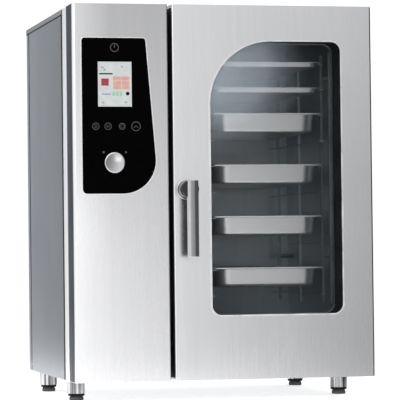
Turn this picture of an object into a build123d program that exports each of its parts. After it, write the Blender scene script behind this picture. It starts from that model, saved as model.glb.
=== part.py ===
from build123d import *
import os

# Combi steamer oven, 10 levels of GN 1/1, on four adjustable feet.
# Frame: floor centre of the outer box, +X right, +Y to the rear, +Z up, millimetres.

os.makedirs("parts", exist_ok=True)

# ---- Driving dimensions ----------------------------------------------------

BODY_W = 850.0
BODY_D = 800.0
BODY_H = 1037.0
FOOT_H = 60.0
SHEET = 1.5
FRAME_SHEET = 2.0

LEFT_X = -BODY_W / 2
RIGHT_X = BODY_W / 2
FRONT_Y = -BODY_D / 2
REAR_Y = BODY_D / 2
BASE_Z = FOOT_H
TOP_Z = FOOT_H + BODY_H
MID_Z = (BASE_Z + TOP_Z) / 2

# Front frame, behind the fascia and the door
FRAME_Y = FRONT_Y + 100.0
FRAME_D = 56.0
FRAME_R = 12.0
FRAME_BACK_Y = FRAME_Y + FRAME_D
SEAM = 16.0
PANEL_Y = FRAME_BACK_Y + SEAM
SEAM_INSET = 0.6
ROOF_LIP = 14.0
CHANNEL_DEPTH = 0.6
SIDE_CHANNEL_Y = 357.0
SIDE_CHANNEL_W = 14.0

# Control column and door
FASCIA_W = 266.0
FASCIA_RIGHT_X = LEFT_X + FASCIA_W
COLUMN_GAP = 13.0
DOOR_LEFT_X = FASCIA_RIGHT_X + COLUMN_GAP
DOOR_W = RIGHT_X - DOOR_LEFT_X
DOOR_BACK_Y = FRAME_Y - 7.0
INNER_PANEL_T = 2.0
EDGE_R = 3.0
FASCIA_LEFT_R = 8.0
FASCIA_CHANNEL_Y = FRONT_Y + 51.0
FASCIA_CHANNEL_W = 78.0

# Window in the door
WINDOW_X = 147.5
WINDOW_Z = 617.5
WINDOW_W = 375.0
WINDOW_H = 758.0
WINDOW_R = 27.0
WINDOW_BIG_R = 175.0
TRIM_W = 4.0
GLASS_T = 6.0
GLASS_LAP = 14.0

# Hinge
HINGE_X = RIGHT_X - 16.5
HINGE_Y = FRAME_Y - 21.0
PIN_R = 6.0
RUNNING = 0.05
LUG_R = 14.0
LUG_T = 5.0
POCKET_H = 8.0
PIN_L = 36.0
BUSH_W = 31.0
BUSH_D = 22.0
BUSH_H = 30.0

# Door handle
HANDLE_X = -109.0
HANDLE_Z = 586.0
HANDLE_REACH = 62.0
HANDLE_W = 30.0
HANDLE_T = 16.0
HANDLE_DROP = 187.0
BOSS_R = 25.0
LEVER_SHIFT = 5.0
LEVER_RISE = 21.0
SPINDLE_R = 7.0
CAM_T = 6.0
CAM_R = 26.0
KEEPER = 60.0
KEEPER_D = 28.0

# Cavity
CAVITY_LEFT_X = -107.0
CAVITY_RIGHT_X = 365.0
MOUTH_LEFT_X = -45.0
CAVITY_BACK_Y = 285.0
NECK_Y = -268.0
CAVITY_BOTTOM_Z = 210.0
CAVITY_TOP_Z = 1025.0
CAVITY_Z = (CAVITY_BOTTOM_Z + CAVITY_TOP_Z) / 2
CAVITY_H = CAVITY_TOP_Z - CAVITY_BOTTOM_Z
MOUTH_W = CAVITY_RIGHT_X - MOUTH_LEFT_X
MOUTH_X = (CAVITY_RIGHT_X + MOUTH_LEFT_X) / 2
WOOL = 30.0

# Gastronorm pans on ten levels
GN_W = 325.0
GN_L = 530.0
GN_RIM = 11.0
GN_RIM_T = 5.0
GN_R = 44.0
GN_WALL = 1.2
GN_CENTRE_X = 153.0
GN_FRONT_Y = -280.0
GN_Y = GN_FRONT_Y + GN_L / 2
LEVELS = 10
LEVEL_PITCH = 72.8
LEVEL_1_Z = 295.5
PAN_DEPTH = 55.0
TRAY_DEPTH = 15.0
PAN_LEVELS = (8, 6, 4, 2)
TRAY_LEVELS = (10, 9)
RAIL_W = 15.0
RAIL_T = 2.5
RAIL_GAP = 0.3

# Circulating fan on the cavity's left wall
FAN_Y = 8.5
FAN_R = 150.0
BAFFLE_X = -31.5
SHAFT_R = 8.0
MOTOR_R = 70.0
MOTOR_L = 150.0

# Control panel
PANEL_LEFT_X = -400.0
PANEL_TOP_X = -222.0
PANEL_FOOT_X = -187.6
PANEL_BOTTOM_Z = 575.5
PANEL_TOP_Z = 1002.5
PANEL_CENTRE_X = -308.0
PANEL_FOOT_R = 92.0
PANEL_LOW_R = 13.0
PANEL_HIGH_R = 9.0
PANEL_T = 6.0
BEZEL_W = 2.5
SCREEN_W = 94.0
SCREEN_H = 123.0
SCREEN_Z = 875.5
KNOB_X = -312.5
KNOB_Z = 660.0
KNOB_R = 28.5
KNOB_H = 14.0
KNOB_TRAVEL = 1.5
STEM_R = 3.0

# Feet
FOOT_X = 384.0
FOOT_FRONT_Y = -180.0
FOOT_REAR_Y = 290.0
SLEEVE_R = 25.5
SLEEVE_H = 40.0
FOOT_PAD_R = 20.0
FOOT_RING_R = 23.5
FOOT_PLACES = {
    "front_left": (-FOOT_X, FOOT_FRONT_Y),
    "front_right": (FOOT_X, FOOT_FRONT_Y),
    "rear_left": (-FOOT_X, FOOT_REAR_Y),
    "rear_right": (FOOT_X, FOOT_REAR_Y),
}

# Services at the rear and on the roof
DRAIN_X = 129.0
DRAIN_R = 25.0
DRAIN_PIPE_R = 24.0
DRAIN_Z = 130.0
DRAIN_SPIGOT_L = 42.0
SERVICE_REACH = 62.0
INLET_PLACES = ((-340.0, 140.0), (-285.0, 140.0))
INLET_R = 13.2
INLET_NECK_R = 12.4
INLET_BORE_R = 8.0
INLET_THREAD_L = 14.0
INLET_REACH = 16.0
GLAND_X = -345.0
GLAND_Z = 230.0
GLAND_R = 16.0
CABLE_R = 9.0
VENT_PLACES = ((-290.0, 320.0), (-190.0, 320.0))
VENT_R = 25.0
VENT_NECK_R = 24.0
VENT_BORE_R = 22.5
VENT_SPIGOT_L = 36.0
VENT_REACH = 40.0
VENT_DEPTH = 60.0


def finish(builder, name):
    """Label one finished piece and write its file."""
    builder.part.label = name
    export_step(builder.part, f"parts/{name}.step")


def facing(y):
    """Plane at depth y that looks to the front, with X right and Z up."""
    return Plane.XZ.offset(-y)


def sideways(x):
    """Plane at width x that looks to the right, with Y and Z as its own axes."""
    return Plane.YZ.offset(x)


def window_outline(y, grow):
    """Window shape with its one large corner, grown outwards by a margin."""
    with BuildSketch(facing(y)) as outline:
        with Locations((WINDOW_X, WINDOW_Z)):
            Rectangle(WINDOW_W + 2 * grow, WINDOW_H + 2 * grow)
        left = outline.vertices().sort_by(Axis.X)[:2]
        right = outline.vertices().sort_by(Axis.X)[2:]
        low_left = left.sort_by(Axis.Y)[0]
        fillet([low_left, right[0], right[1]], radius=WINDOW_R + grow)
        high_left = outline.vertices().group_by(Axis.Y)[-1].sort_by(Axis.X)[0]
        fillet(high_left, radius=WINDOW_BIG_R + grow)
    return outline.sketch


def panel_outline(y, grow):
    """Control panel shape: a slanted right side and one large lower corner."""
    with BuildSketch(facing(y)) as outline:
        with BuildLine():
            Polyline(
                (PANEL_LEFT_X, PANEL_BOTTOM_Z),
                (PANEL_LEFT_X, PANEL_TOP_Z),
                (PANEL_TOP_X, PANEL_TOP_Z),
                (PANEL_FOOT_X, PANEL_BOTTOM_Z),
                close=True,
            )
        make_face()
        foot = outline.vertices().sort_by(Axis.X)[-1]
        fillet(foot, radius=PANEL_FOOT_R)
        low_left = outline.vertices().group_by(Axis.Y)[0].sort_by(Axis.X)[0]
        fillet(low_left, radius=PANEL_LOW_R)
        high = outline.vertices().group_by(Axis.Y)[-1]
        fillet(high, radius=PANEL_HIGH_R)
        if grow:
            offset(amount=grow)
    return outline.sketch


def rounded_plan(z, centre, width, depth, front_r, rear_right_r=0.0):
    """Plan rectangle with rounded front corners and an optional rear right one."""
    with BuildSketch(Plane.XY.offset(z)) as plan:
        with Locations(centre):
            Rectangle(width, depth)
        fillet(plan.vertices().group_by(Axis.Y)[0], radius=front_r)
        if rear_right_r:
            rear = plan.vertices().group_by(Axis.Y)[-1].sort_by(Axis.X)
            fillet(rear[-1], radius=rear_right_r)
    return plan.sketch


def rim_z(level):
    """Height of a pan's rim top on the given level."""
    return LEVEL_1_Z + (level - 1) * LEVEL_PITCH


# ---- Front frame -----------------------------------------------------------

FRAME_CENTRE = (0, FRAME_Y + FRAME_D / 2)

with BuildPart() as front_frame:
    extrude(rounded_plan(BASE_Z, FRAME_CENTRE, BODY_W, FRAME_D, FRAME_R), amount=BODY_H)
    frame_hollow = rounded_plan(
        BASE_Z + FRAME_SHEET,
        FRAME_CENTRE,
        BODY_W - 2 * FRAME_SHEET,
        FRAME_D - 2 * FRAME_SHEET,
        FRAME_R - FRAME_SHEET,
    )
    extrude(frame_hollow, amount=BODY_H - 2 * FRAME_SHEET, mode=Mode.SUBTRACT)
    with Locations((0, FRAME_BACK_Y, MID_Z)):
        Box(BODY_W - 32, 10, BODY_H - 32, mode=Mode.SUBTRACT)
    with Locations((MOUTH_X, FRAME_Y, CAVITY_Z)):
        Box(MOUTH_W, 10, CAVITY_H, mode=Mode.SUBTRACT)
    with Locations((LEFT_X + FASCIA_W / 2, FRAME_Y, MID_Z)):
        Box(FASCIA_W - 60, 10, BODY_H - 80, mode=Mode.SUBTRACT)
    with Locations((HANDLE_X, FRAME_Y, HANDLE_Z)):
        Box(KEEPER, 10, KEEPER, mode=Mode.SUBTRACT)
finish(front_frame, "front_frame")

# ---- Black seal strip between the frame and the panels, and in the column gap

with BuildPart() as body_seal:
    with BuildSketch(facing(PANEL_Y)):
        with Locations((0, MID_Z)):
            Rectangle(BODY_W - 2 * SEAM_INSET, BODY_H - 2 * SEAM_INSET)
            Rectangle(BODY_W - 26, BODY_H - 26, mode=Mode.SUBTRACT)
    extrude(amount=SEAM)
    with BuildSketch(facing(FRAME_Y)):
        with Locations((FASCIA_RIGHT_X + COLUMN_GAP / 2, MID_Z)):
            Rectangle(COLUMN_GAP - 4, BODY_H - 8)
    extrude(amount=4)
finish(body_seal, "body_seal")

# ---- Side panels: folded sheets with a turned-in edge front and rear --------

PANEL_X = RIGHT_X - SHEET
SIDE_L = REAR_Y - SHEET - PANEL_Y
SIDE_Y = PANEL_Y + SIDE_L / 2
SIDE_BOTTOM_Z = BASE_Z
SIDE_TOP_Z = TOP_Z - SHEET
SIDE_H = SIDE_TOP_Z - SIDE_BOTTOM_Z
SIDE_FOLD = 18.0

for side, name in ((-1, "side_panel_left"), (1, "side_panel_right")):
    with BuildPart() as side_panel:
        with Locations((side * (PANEL_X - SIDE_FOLD / 2), SIDE_Y, SIDE_BOTTOM_Z + SIDE_H / 2)):
            Box(SIDE_FOLD, SIDE_L, SIDE_H)
        with Locations((side * (PANEL_X - SHEET - SIDE_FOLD / 2), SIDE_Y, SIDE_BOTTOM_Z + SIDE_H / 2)):
            Box(SIDE_FOLD, SIDE_L - 2 * SHEET, SIDE_H, mode=Mode.SUBTRACT)
        outer_uprights = side_panel.edges().filter_by(Axis.Z).group_by(Axis.X)[0 if side < 0 else -1]
        fillet(outer_uprights, radius=SHEET * 0.9)
        with Locations((side * PANEL_X, SIDE_CHANNEL_Y, MID_Z)):
            Box(2 * CHANNEL_DEPTH, SIDE_CHANNEL_W, BODY_H, mode=Mode.SUBTRACT)
    finish(side_panel, name)

# ---- Roof: cap with lips that hang over the side panels ---------------------

with BuildPart() as roof_panel:
    with Locations((0, SIDE_Y, TOP_Z - ROOF_LIP / 2)):
        Box(BODY_W, SIDE_L, ROOF_LIP)
    roof_edges = roof_panel.edges().filter_by(Axis.Y).group_by(Axis.Z)[-1]
    fillet(roof_edges, radius=SHEET * 0.9)
    with Locations((0, SIDE_Y, TOP_Z - SHEET - ROOF_LIP / 2)):
        Box(BODY_W - 2 * SHEET, SIDE_L + 1, ROOF_LIP, mode=Mode.SUBTRACT)
    for place in VENT_PLACES:
        with Locations((place[0], place[1], TOP_Z - SHEET / 2)):
            Cylinder(VENT_R, 2 * SHEET, mode=Mode.SUBTRACT)
finish(roof_panel, "roof_panel")

# ---- Rear panel: louvred sheet with the service holes -----------------------

LOUVRE_L = 90.0
LOUVRE_W = 7.0
LOUVRE_STEP_X = 110.0
LOUVRE_STEP_Z = 16.0
MOTOR_LOUVRES = (-280, 780)
FLUE_LOUVRES = (150, 980)

with BuildPart() as rear_panel:
    with Locations((0, REAR_Y - SHEET / 2, MID_Z)):
        Box(BODY_W - 2 * SHEET, SHEET, BODY_H)
    with BuildSketch(facing(REAR_Y)):
        with Locations(MOTOR_LOUVRES):
            with GridLocations(LOUVRE_STEP_X, LOUVRE_STEP_Z, 2, 14):
                SlotOverall(LOUVRE_L, LOUVRE_W)
        with Locations(FLUE_LOUVRES):
            with GridLocations(LOUVRE_STEP_X, LOUVRE_STEP_Z, 3, 4):
                SlotOverall(LOUVRE_L, LOUVRE_W)
        with Locations((DRAIN_X, DRAIN_Z)):
            Circle(DRAIN_R + 0.5)
        with Locations(INLET_PLACES):
            Circle(INLET_R + 0.5)
        with Locations((GLAND_X, GLAND_Z)):
            Circle(GLAND_R)
    extrude(amount=2 * SHEET, mode=Mode.SUBTRACT)
finish(rear_panel, "rear_panel")

# ---- Base pan: floor of the casing, with upstands ---------------------------

BASE_FLANGE = 40.0
BASE_W = 2 * (PANEL_X - SHEET)
BASE_D = REAR_Y - SHEET - SHEET - PANEL_Y

with BuildPart() as base_pan:
    with Locations((0, PANEL_Y + SHEET + BASE_D / 2 - 1, BASE_Z + BASE_FLANGE / 2)):
        Box(BASE_W, BASE_D - 2, BASE_FLANGE)
    with Locations((0, PANEL_Y + SHEET + BASE_D / 2 - 1, BASE_Z + FRAME_SHEET + BASE_FLANGE / 2)):
        Box(
            BASE_W - 2 * FRAME_SHEET,
            BASE_D - 2 - 2 * FRAME_SHEET,
            BASE_FLANGE,
            mode=Mode.SUBTRACT,
        )
finish(base_pan, "base_pan")

# ---- Cavity liner: front neck, fan chamber and oven space in one shell ------


def liner_plan(z, grow):
    """Plan of the oven space at height z, grown outwards by a wall."""
    with BuildSketch(Plane.XY.offset(z)) as plan:
        with BuildLine():
            Polyline(
                (MOUTH_LEFT_X - grow, FRAME_Y + FRAME_SHEET),
                (MOUTH_LEFT_X - grow, NECK_Y - grow),
                (CAVITY_LEFT_X - grow, NECK_Y - grow),
                (CAVITY_LEFT_X - grow, CAVITY_BACK_Y + grow),
                (CAVITY_RIGHT_X + grow, CAVITY_BACK_Y + grow),
                (CAVITY_RIGHT_X + grow, FRAME_Y + FRAME_SHEET),
                close=True,
            )
        make_face()
    return plan.sketch


COIL_RINGS_X = (-88.0, -74.0, -60.0)
COIL_R = 190.0
COIL_TUBE_R = 4.25
COIL_LEAD_Y = (-12.0, 12.0)
COIL_LEAD_END_X = -165.0
STEAM_Y = 215.0
STEAM_Z = 470.0
STEAM_R = 11.0
DRAIN_HOLE_R = 45.0


def wall_holes(start_x, spare):
    """Holes in the left wall for the fan shaft, the heater leads and the steam pipe."""
    with BuildSketch(sideways(start_x)) as holes:
        with Locations((FAN_Y, CAVITY_Z)):
            Circle(SHAFT_R + 1.0 + spare)
        for lead_y in COIL_LEAD_Y:
            with Locations((FAN_Y + lead_y, CAVITY_Z - COIL_R)):
                Circle(COIL_TUBE_R + 0.25 + spare)
        with Locations((STEAM_Y, STEAM_Z)):
            Circle(STEAM_R + spare)
    return holes.sketch


with BuildPart() as cavity_liner:
    extrude(liner_plan(CAVITY_BOTTOM_Z - SHEET, SHEET), amount=CAVITY_H + 2 * SHEET)
    with Locations((MOUTH_X, FRAME_Y + FRAME_SHEET + SHEET / 2, CAVITY_Z)):
        Box(MOUTH_W + 28, SHEET, CAVITY_H + 28)
    extrude(liner_plan(CAVITY_BOTTOM_Z, 0), amount=CAVITY_H, mode=Mode.SUBTRACT)
    extrude(wall_holes(CAVITY_LEFT_X - 2 * SHEET, 0), amount=4 * SHEET, mode=Mode.SUBTRACT)
    with Locations((DRAIN_X, 0, CAVITY_BOTTOM_Z)):
        Cylinder(DRAIN_HOLE_R, 4 * SHEET, mode=Mode.SUBTRACT)
finish(cavity_liner, "cavity_liner")

# ---- Mineral wool around the liner ------------------------------------------

WOOL_FRONT_Y = FRAME_Y + FRAME_SHEET + SHEET
WOOL_LEFT_X = CAVITY_LEFT_X - SHEET - WOOL
WOOL_RIGHT_X = CAVITY_RIGHT_X + SHEET + WOOL
WOOL_BACK_Y = CAVITY_BACK_Y + SHEET + WOOL
WOOL_SIZE = (
    WOOL_RIGHT_X - WOOL_LEFT_X,
    WOOL_BACK_Y - WOOL_FRONT_Y,
    CAVITY_H + 2 * SHEET + 2 * WOOL,
)
WOOL_CENTRE = (
    (WOOL_RIGHT_X + WOOL_LEFT_X) / 2,
    (WOOL_BACK_Y + WOOL_FRONT_Y) / 2,
    CAVITY_Z,
)

with BuildPart() as insulation:
    with Locations(WOOL_CENTRE):
        Box(*WOOL_SIZE)
    liner_block = liner_plan(CAVITY_BOTTOM_Z - SHEET, SHEET)
    extrude(liner_block, amount=CAVITY_H + 2 * SHEET, mode=Mode.SUBTRACT)
    with Locations((HANDLE_X, FRAME_Y + KEEPER_D / 2, HANDLE_Z)):
        Box(KEEPER + 8, KEEPER_D + 4, KEEPER + 8, mode=Mode.SUBTRACT)
    extrude(wall_holes(WOOL_LEFT_X - 1, 1.5), amount=WOOL + 2, mode=Mode.SUBTRACT)
    with Locations((DRAIN_X, 0, CAVITY_BOTTOM_Z - WOOL / 2)):
        Cylinder(DRAIN_HOLE_R + 4, WOOL + 8, mode=Mode.SUBTRACT)
finish(insulation, "insulation")

# ---- Door gasket on the frame, around the mouth -----------------------------

GASKET_PROUD = 6.4

with BuildPart() as door_gasket:
    with BuildSketch(facing(FRAME_Y)):
        with Locations((MOUTH_X, CAVITY_Z)):
            RectangleRounded(MOUTH_W + 36, CAVITY_H + 36, 22)
            RectangleRounded(MOUTH_W + 10, CAVITY_H + 10, 10, mode=Mode.SUBTRACT)
    extrude(amount=GASKET_PROUD)
    lip_edges = door_gasket.faces().sort_by(Axis.Y)[0].edges()
    fillet(lip_edges, radius=3.0)
finish(door_gasket, "door_gasket")

# ---- Racks: posts with ten rails on each side -------------------------------

RAIL_LEFT_X = GN_CENTRE_X - GN_W / 2 - 4.5
RAIL_RIGHT_X = GN_CENTRE_X + GN_W / 2 + 4.5
POST = 8.0
POST_Y = (-240.0, 0.0, 230.0)
RAIL_L = GN_L + 8.0
RAIL_Y = GN_Y
PEG_LEVELS = (2, 9)
PEG_R = 5.0
RACK_FOOT_Z = LEVEL_1_Z - 30.0
RACK_TOP_Z = rim_z(LEVELS) + 20.0

for side, name in ((-1, "rack_left"), (1, "rack_right")):
    rail_edge_x = RAIL_LEFT_X if side < 0 else RAIL_RIGHT_X
    wall_x = BAFFLE_X + SHEET if side < 0 else CAVITY_RIGHT_X
    post_x = rail_edge_x + side * POST / 2
    peg_length = abs(wall_x - post_x)
    with BuildPart() as rack:
        for post_y in POST_Y:
            with Locations((post_x, post_y, (RACK_FOOT_Z + RACK_TOP_Z) / 2)):
                Box(POST, POST, RACK_TOP_Z - RACK_FOOT_Z)
        for level in range(1, LEVELS + 1):
            rail_top_z = rim_z(level) - GN_RIM_T - RAIL_GAP
            with Locations((rail_edge_x - side * RAIL_W / 2, RAIL_Y, rail_top_z - RAIL_T / 2)):
                Box(RAIL_W, RAIL_L, RAIL_T)
        for level in PEG_LEVELS:
            for post_y in (POST_Y[0], POST_Y[2]):
                peg_centre = (post_x + wall_x) / 2
                with Locations((peg_centre, post_y, rim_z(level) + 30)):
                    Cylinder(PEG_R, peg_length, rotation=(0, 90, 0))
    finish(rack, name)

# ---- Fan baffle with its intake grille --------------------------------------

BAFFLE_L = 500.0
BAFFLE_H = 740.0
GRILLE_HOLE_R = 7.0
GRILLE_RINGS = ((32.0, 8), (56.0, 14), (80.0, 20), (104.0, 26), (128.0, 32))
STANDOFF_R = 6.0

with BuildPart() as fan_baffle:
    with BuildSketch(sideways(BAFFLE_X)):
        with Locations((FAN_Y, CAVITY_Z)):
            RectangleRounded(BAFFLE_L, BAFFLE_H, 12)
            Circle(GRILLE_HOLE_R, mode=Mode.SUBTRACT)
            for ring_r, holes in GRILLE_RINGS:
                with PolarLocations(ring_r, holes):
                    Circle(GRILLE_HOLE_R, mode=Mode.SUBTRACT)
    extrude(amount=SHEET)
    with BuildSketch(sideways(BAFFLE_X)):
        with Locations((FAN_Y, CAVITY_Z)):
            with GridLocations(BAFFLE_L - 60, BAFFLE_H - 60, 2, 2):
                Circle(STANDOFF_R)
    extrude(amount=CAVITY_LEFT_X - BAFFLE_X)
finish(fan_baffle, "fan_baffle")

# ---- Fan wheel, its shaft and the motor -------------------------------------

WHEEL_BACK_X = CAVITY_LEFT_X + 12.0
WHEEL_DISC = 2.0
BLADES = 12
BLADE_W = 42.0
HUB_R = 20.0

with BuildPart() as fan_wheel:
    with BuildSketch(sideways(WHEEL_BACK_X)):
        with Locations((FAN_Y, CAVITY_Z)):
            Circle(FAN_R)
            Circle(SHAFT_R, mode=Mode.SUBTRACT)
    extrude(amount=WHEEL_DISC)
    with BuildSketch(sideways(WHEEL_BACK_X)):
        with Locations((FAN_Y, CAVITY_Z)):
            Circle(HUB_R)
            Circle(SHAFT_R, mode=Mode.SUBTRACT)
    extrude(amount=26)
    with BuildSketch(sideways(WHEEL_BACK_X)):
        with Locations((FAN_Y, CAVITY_Z)):
            with PolarLocations(FAN_R - 24, BLADES):
                Rectangle(40, 2, rotation=35)
    extrude(amount=BLADE_W)
    with BuildSketch(sideways(WHEEL_BACK_X + BLADE_W - WHEEL_DISC)):
        with Locations((FAN_Y, CAVITY_Z)):
            Circle(FAN_R)
            Circle(FAN_R - 46, mode=Mode.SUBTRACT)
    extrude(amount=WHEEL_DISC)
finish(fan_wheel, "fan_wheel")

MOTOR_FACE_X = WOOL_LEFT_X
SHAFT_END_X = MOTOR_FACE_X - 90.0

with BuildPart() as fan_shaft:
    with BuildSketch(sideways(SHAFT_END_X)):
        with Locations((FAN_Y, CAVITY_Z)):
            Circle(SHAFT_R)
    extrude(amount=WHEEL_BACK_X + 26 - SHAFT_END_X)
finish(fan_shaft, "fan_shaft")

MOTOR_FLANGE = 170.0
MOTOR_FLANGE_T = 6.0
MOTOR_FLANGE_R = 14.0

with BuildPart() as fan_motor:
    with BuildSketch(sideways(MOTOR_FACE_X - MOTOR_L)):
        with Locations((FAN_Y, CAVITY_Z)):
            Circle(MOTOR_R)
    extrude(amount=MOTOR_L)
    with BuildSketch(sideways(MOTOR_FACE_X - MOTOR_FLANGE_T)):
        with Locations((FAN_Y, CAVITY_Z)):
            RectangleRounded(MOTOR_FLANGE, MOTOR_FLANGE, MOTOR_FLANGE_R)
    extrude(amount=MOTOR_FLANGE_T)
    with BuildSketch(sideways(SHAFT_END_X - 0.5)):
        with Locations((FAN_Y, CAVITY_Z)):
            Circle(SHAFT_R + RUNNING)
    extrude(amount=MOTOR_FACE_X - SHAFT_END_X + 1, mode=Mode.SUBTRACT)
finish(fan_motor, "fan_motor")

# ---- Ring heater around the fan wheel ---------------------------------------

with BuildPart() as heating_coil:
    for ring_x in COIL_RINGS_X:
        with Locations(Location((ring_x, FAN_Y, CAVITY_Z), (0, 90, 0))):
            Torus(COIL_R, COIL_TUBE_R)
    for lead_y in COIL_LEAD_Y:
        with BuildSketch(sideways(COIL_LEAD_END_X)):
            with Locations((FAN_Y + lead_y, CAVITY_Z - COIL_R)):
                Circle(COIL_TUBE_R)
        extrude(amount=COIL_RINGS_X[-1] - COIL_LEAD_END_X)
finish(heating_coil, "heating_coil")

# ---- Steam generator and its pipe into the oven space -----------------------

BOILER_X = -290.0
BOILER_R = 85.0
BOILER_BOTTOM_Z = BASE_Z + FRAME_SHEET
BOILER_H = 330.0
BOILER_TOP_Z = BOILER_BOTTOM_Z + BOILER_H

BOILER_WALL = 2.0

BOILER_ROUND = 18.0
BOILER_AXIS = Axis((BOILER_X, STEAM_Y, 0), (0, 0, 1))


def boiler_half(inset):
    """Half section of the vessel, set in from its outer face."""
    with BuildSketch(Plane.XZ.offset(-STEAM_Y)) as half:
        with Locations((BOILER_X + (BOILER_R - inset) / 2, BOILER_BOTTOM_Z + BOILER_H / 2)):
            Rectangle(BOILER_R - inset, BOILER_H - 2 * inset)
        fillet(half.vertices().group_by(Axis.X)[-1], radius=BOILER_ROUND - inset)
    return half.sketch


with BuildPart() as steam_generator:
    revolve(boiler_half(0), axis=BOILER_AXIS)
    revolve(boiler_half(BOILER_WALL), axis=BOILER_AXIS, mode=Mode.SUBTRACT)
    with Locations((BOILER_X, STEAM_Y, BOILER_TOP_Z)):
        Cylinder(STEAM_R, 20, mode=Mode.SUBTRACT)
finish(steam_generator, "steam_generator")

with BuildPart() as steam_pipe:
    with BuildLine() as steam_route:
        FilletPolyline(
            (BOILER_X, STEAM_Y, BOILER_TOP_Z - 2),
            (BOILER_X, STEAM_Y, STEAM_Z),
            (CAVITY_LEFT_X, STEAM_Y, STEAM_Z),
            radius=34,
        )
    with BuildSketch(Plane((BOILER_X, STEAM_Y, BOILER_TOP_Z - 2))):
        Circle(STEAM_R)
        Circle(STEAM_R - 1.5, mode=Mode.SUBTRACT)
    sweep()
finish(steam_pipe, "steam_pipe")

# ---- Floor drain: grate and pipe to the rear --------------------------------

GRATE_R = 60.0
GRATE_T = 2.0

with BuildPart() as drain_grate:
    with BuildSketch(Plane.XY.offset(CAVITY_BOTTOM_Z)):
        with Locations((DRAIN_X, 0)):
            Circle(GRATE_R)
            for ring_r, holes in ((12.0, 6), (24.0, 12), (36.0, 18)):
                with PolarLocations(ring_r, holes):
                    Circle(3.5, mode=Mode.SUBTRACT)
    extrude(amount=GRATE_T)
finish(drain_grate, "drain_grate")

DRAIN_TOP_Z = CAVITY_BOTTOM_Z - SHEET
ELBOW_R = 40.0
SPIGOT_Y = REAR_Y + SERVICE_REACH - DRAIN_SPIGOT_L

with BuildPart() as drain_pipe:
    with BuildLine() as drain_route:
        FilletPolyline(
            (DRAIN_X, 0, DRAIN_TOP_Z),
            (DRAIN_X, 0, DRAIN_Z),
            (DRAIN_X, SPIGOT_Y, DRAIN_Z),
            radius=ELBOW_R,
        )
    with BuildSketch(Plane.XY.offset(DRAIN_TOP_Z)):
        with Locations((DRAIN_X, 0)):
            Circle(DRAIN_PIPE_R)
            Circle(DRAIN_PIPE_R - 2, mode=Mode.SUBTRACT)
    sweep()
    with BuildSketch(Plane.XY.offset(DRAIN_TOP_Z)):
        with Locations((DRAIN_X, 0)):
            Circle(DRAIN_HOLE_R)
            Circle(DRAIN_PIPE_R - 2, mode=Mode.SUBTRACT)
    extrude(amount=-3)
    with BuildSketch(facing(REAR_Y + SERVICE_REACH)):
        with Locations((DRAIN_X, DRAIN_Z)):
            Circle(DRAIN_R)
            Circle(DRAIN_PIPE_R - 2, mode=Mode.SUBTRACT)
    extrude(amount=DRAIN_SPIGOT_L)
finish(drain_pipe, "drain_pipe")

# ---- Fascia of the control column -------------------------------------------

FASCIA_D = FRAME_Y - FRONT_Y


def fascia_plan(inset):
    """Plan of the fascia, with a larger radius on its left edge, open to the rear."""
    with BuildSketch(Plane.XY.offset(BASE_Z + inset)) as plan:
        with Locations((LEFT_X + FASCIA_W / 2, FRONT_Y + inset + FASCIA_D / 2)):
            Rectangle(FASCIA_W - 2 * inset, FASCIA_D)
        left_corner = plan.vertices().group_by(Axis.Y)[0].sort_by(Axis.X)[0]
        fillet(left_corner, radius=FASCIA_LEFT_R - inset)
        right_corner = plan.vertices().group_by(Axis.Y)[0].sort_by(Axis.X)[-1]
        fillet(right_corner, radius=EDGE_R - inset)
    return plan.sketch


with BuildPart() as fascia:
    extrude(fascia_plan(0), amount=BODY_H)
    extrude(fascia_plan(SHEET), amount=BODY_H - 2 * SHEET, mode=Mode.SUBTRACT)
    extrude(panel_outline(FRONT_Y - 1, BEZEL_W), amount=-8, mode=Mode.SUBTRACT)
    with Locations((LEFT_X, FASCIA_CHANNEL_Y, MID_Z)):
        Box(2 * CHANNEL_DEPTH, FASCIA_CHANNEL_W, BODY_H + 2, mode=Mode.SUBTRACT)
finish(fascia, "fascia")

# ---- Control panel: bezel, glass, display, marks, board ---------------------

GLASS_FRONT_Y = FRONT_Y - 1.0

with BuildPart() as control_bezel:
    extrude(panel_outline(GLASS_FRONT_Y - 0.5, BEZEL_W), amount=-(PANEL_T - 1))
    extrude(panel_outline(GLASS_FRONT_Y - 0.5, 0), amount=-(PANEL_T - 1), mode=Mode.SUBTRACT)
finish(control_bezel, "control_bezel")

SCREEN_INSET = 0.8

with BuildPart() as control_glass:
    extrude(panel_outline(GLASS_FRONT_Y, 0), amount=-PANEL_T)
    with BuildSketch(facing(GLASS_FRONT_Y)):
        with Locations((PANEL_CENTRE_X, SCREEN_Z)):
            Rectangle(SCREEN_W, SCREEN_H)
    extrude(amount=-SCREEN_INSET, mode=Mode.SUBTRACT)
    with BuildSketch(facing(GLASS_FRONT_Y)):
        with Locations((KNOB_X, KNOB_Z)):
            Circle(STEM_R + 1)
    extrude(amount=-PANEL_T, mode=Mode.SUBTRACT)
finish(control_glass, "control_glass")

with BuildPart() as touch_display:
    with BuildSketch(facing(GLASS_FRONT_Y)):
        with Locations((PANEL_CENTRE_X, SCREEN_Z)):
            Rectangle(SCREEN_W, SCREEN_H)
    extrude(amount=-SCREEN_INSET)
finish(touch_display, "touch_display")

POWER_Z = 976.0
TOUCH_Z = 760.0
TOUCH_X = (-362.0, -328.0, -288.5, -250.0)
TOUCH_R = (10.0, 10.0, 9.0, 13.0)
DOT_Z = 689.0
DOT_X = (-341.0, -279.0)
MARK_T = 0.3

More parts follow.
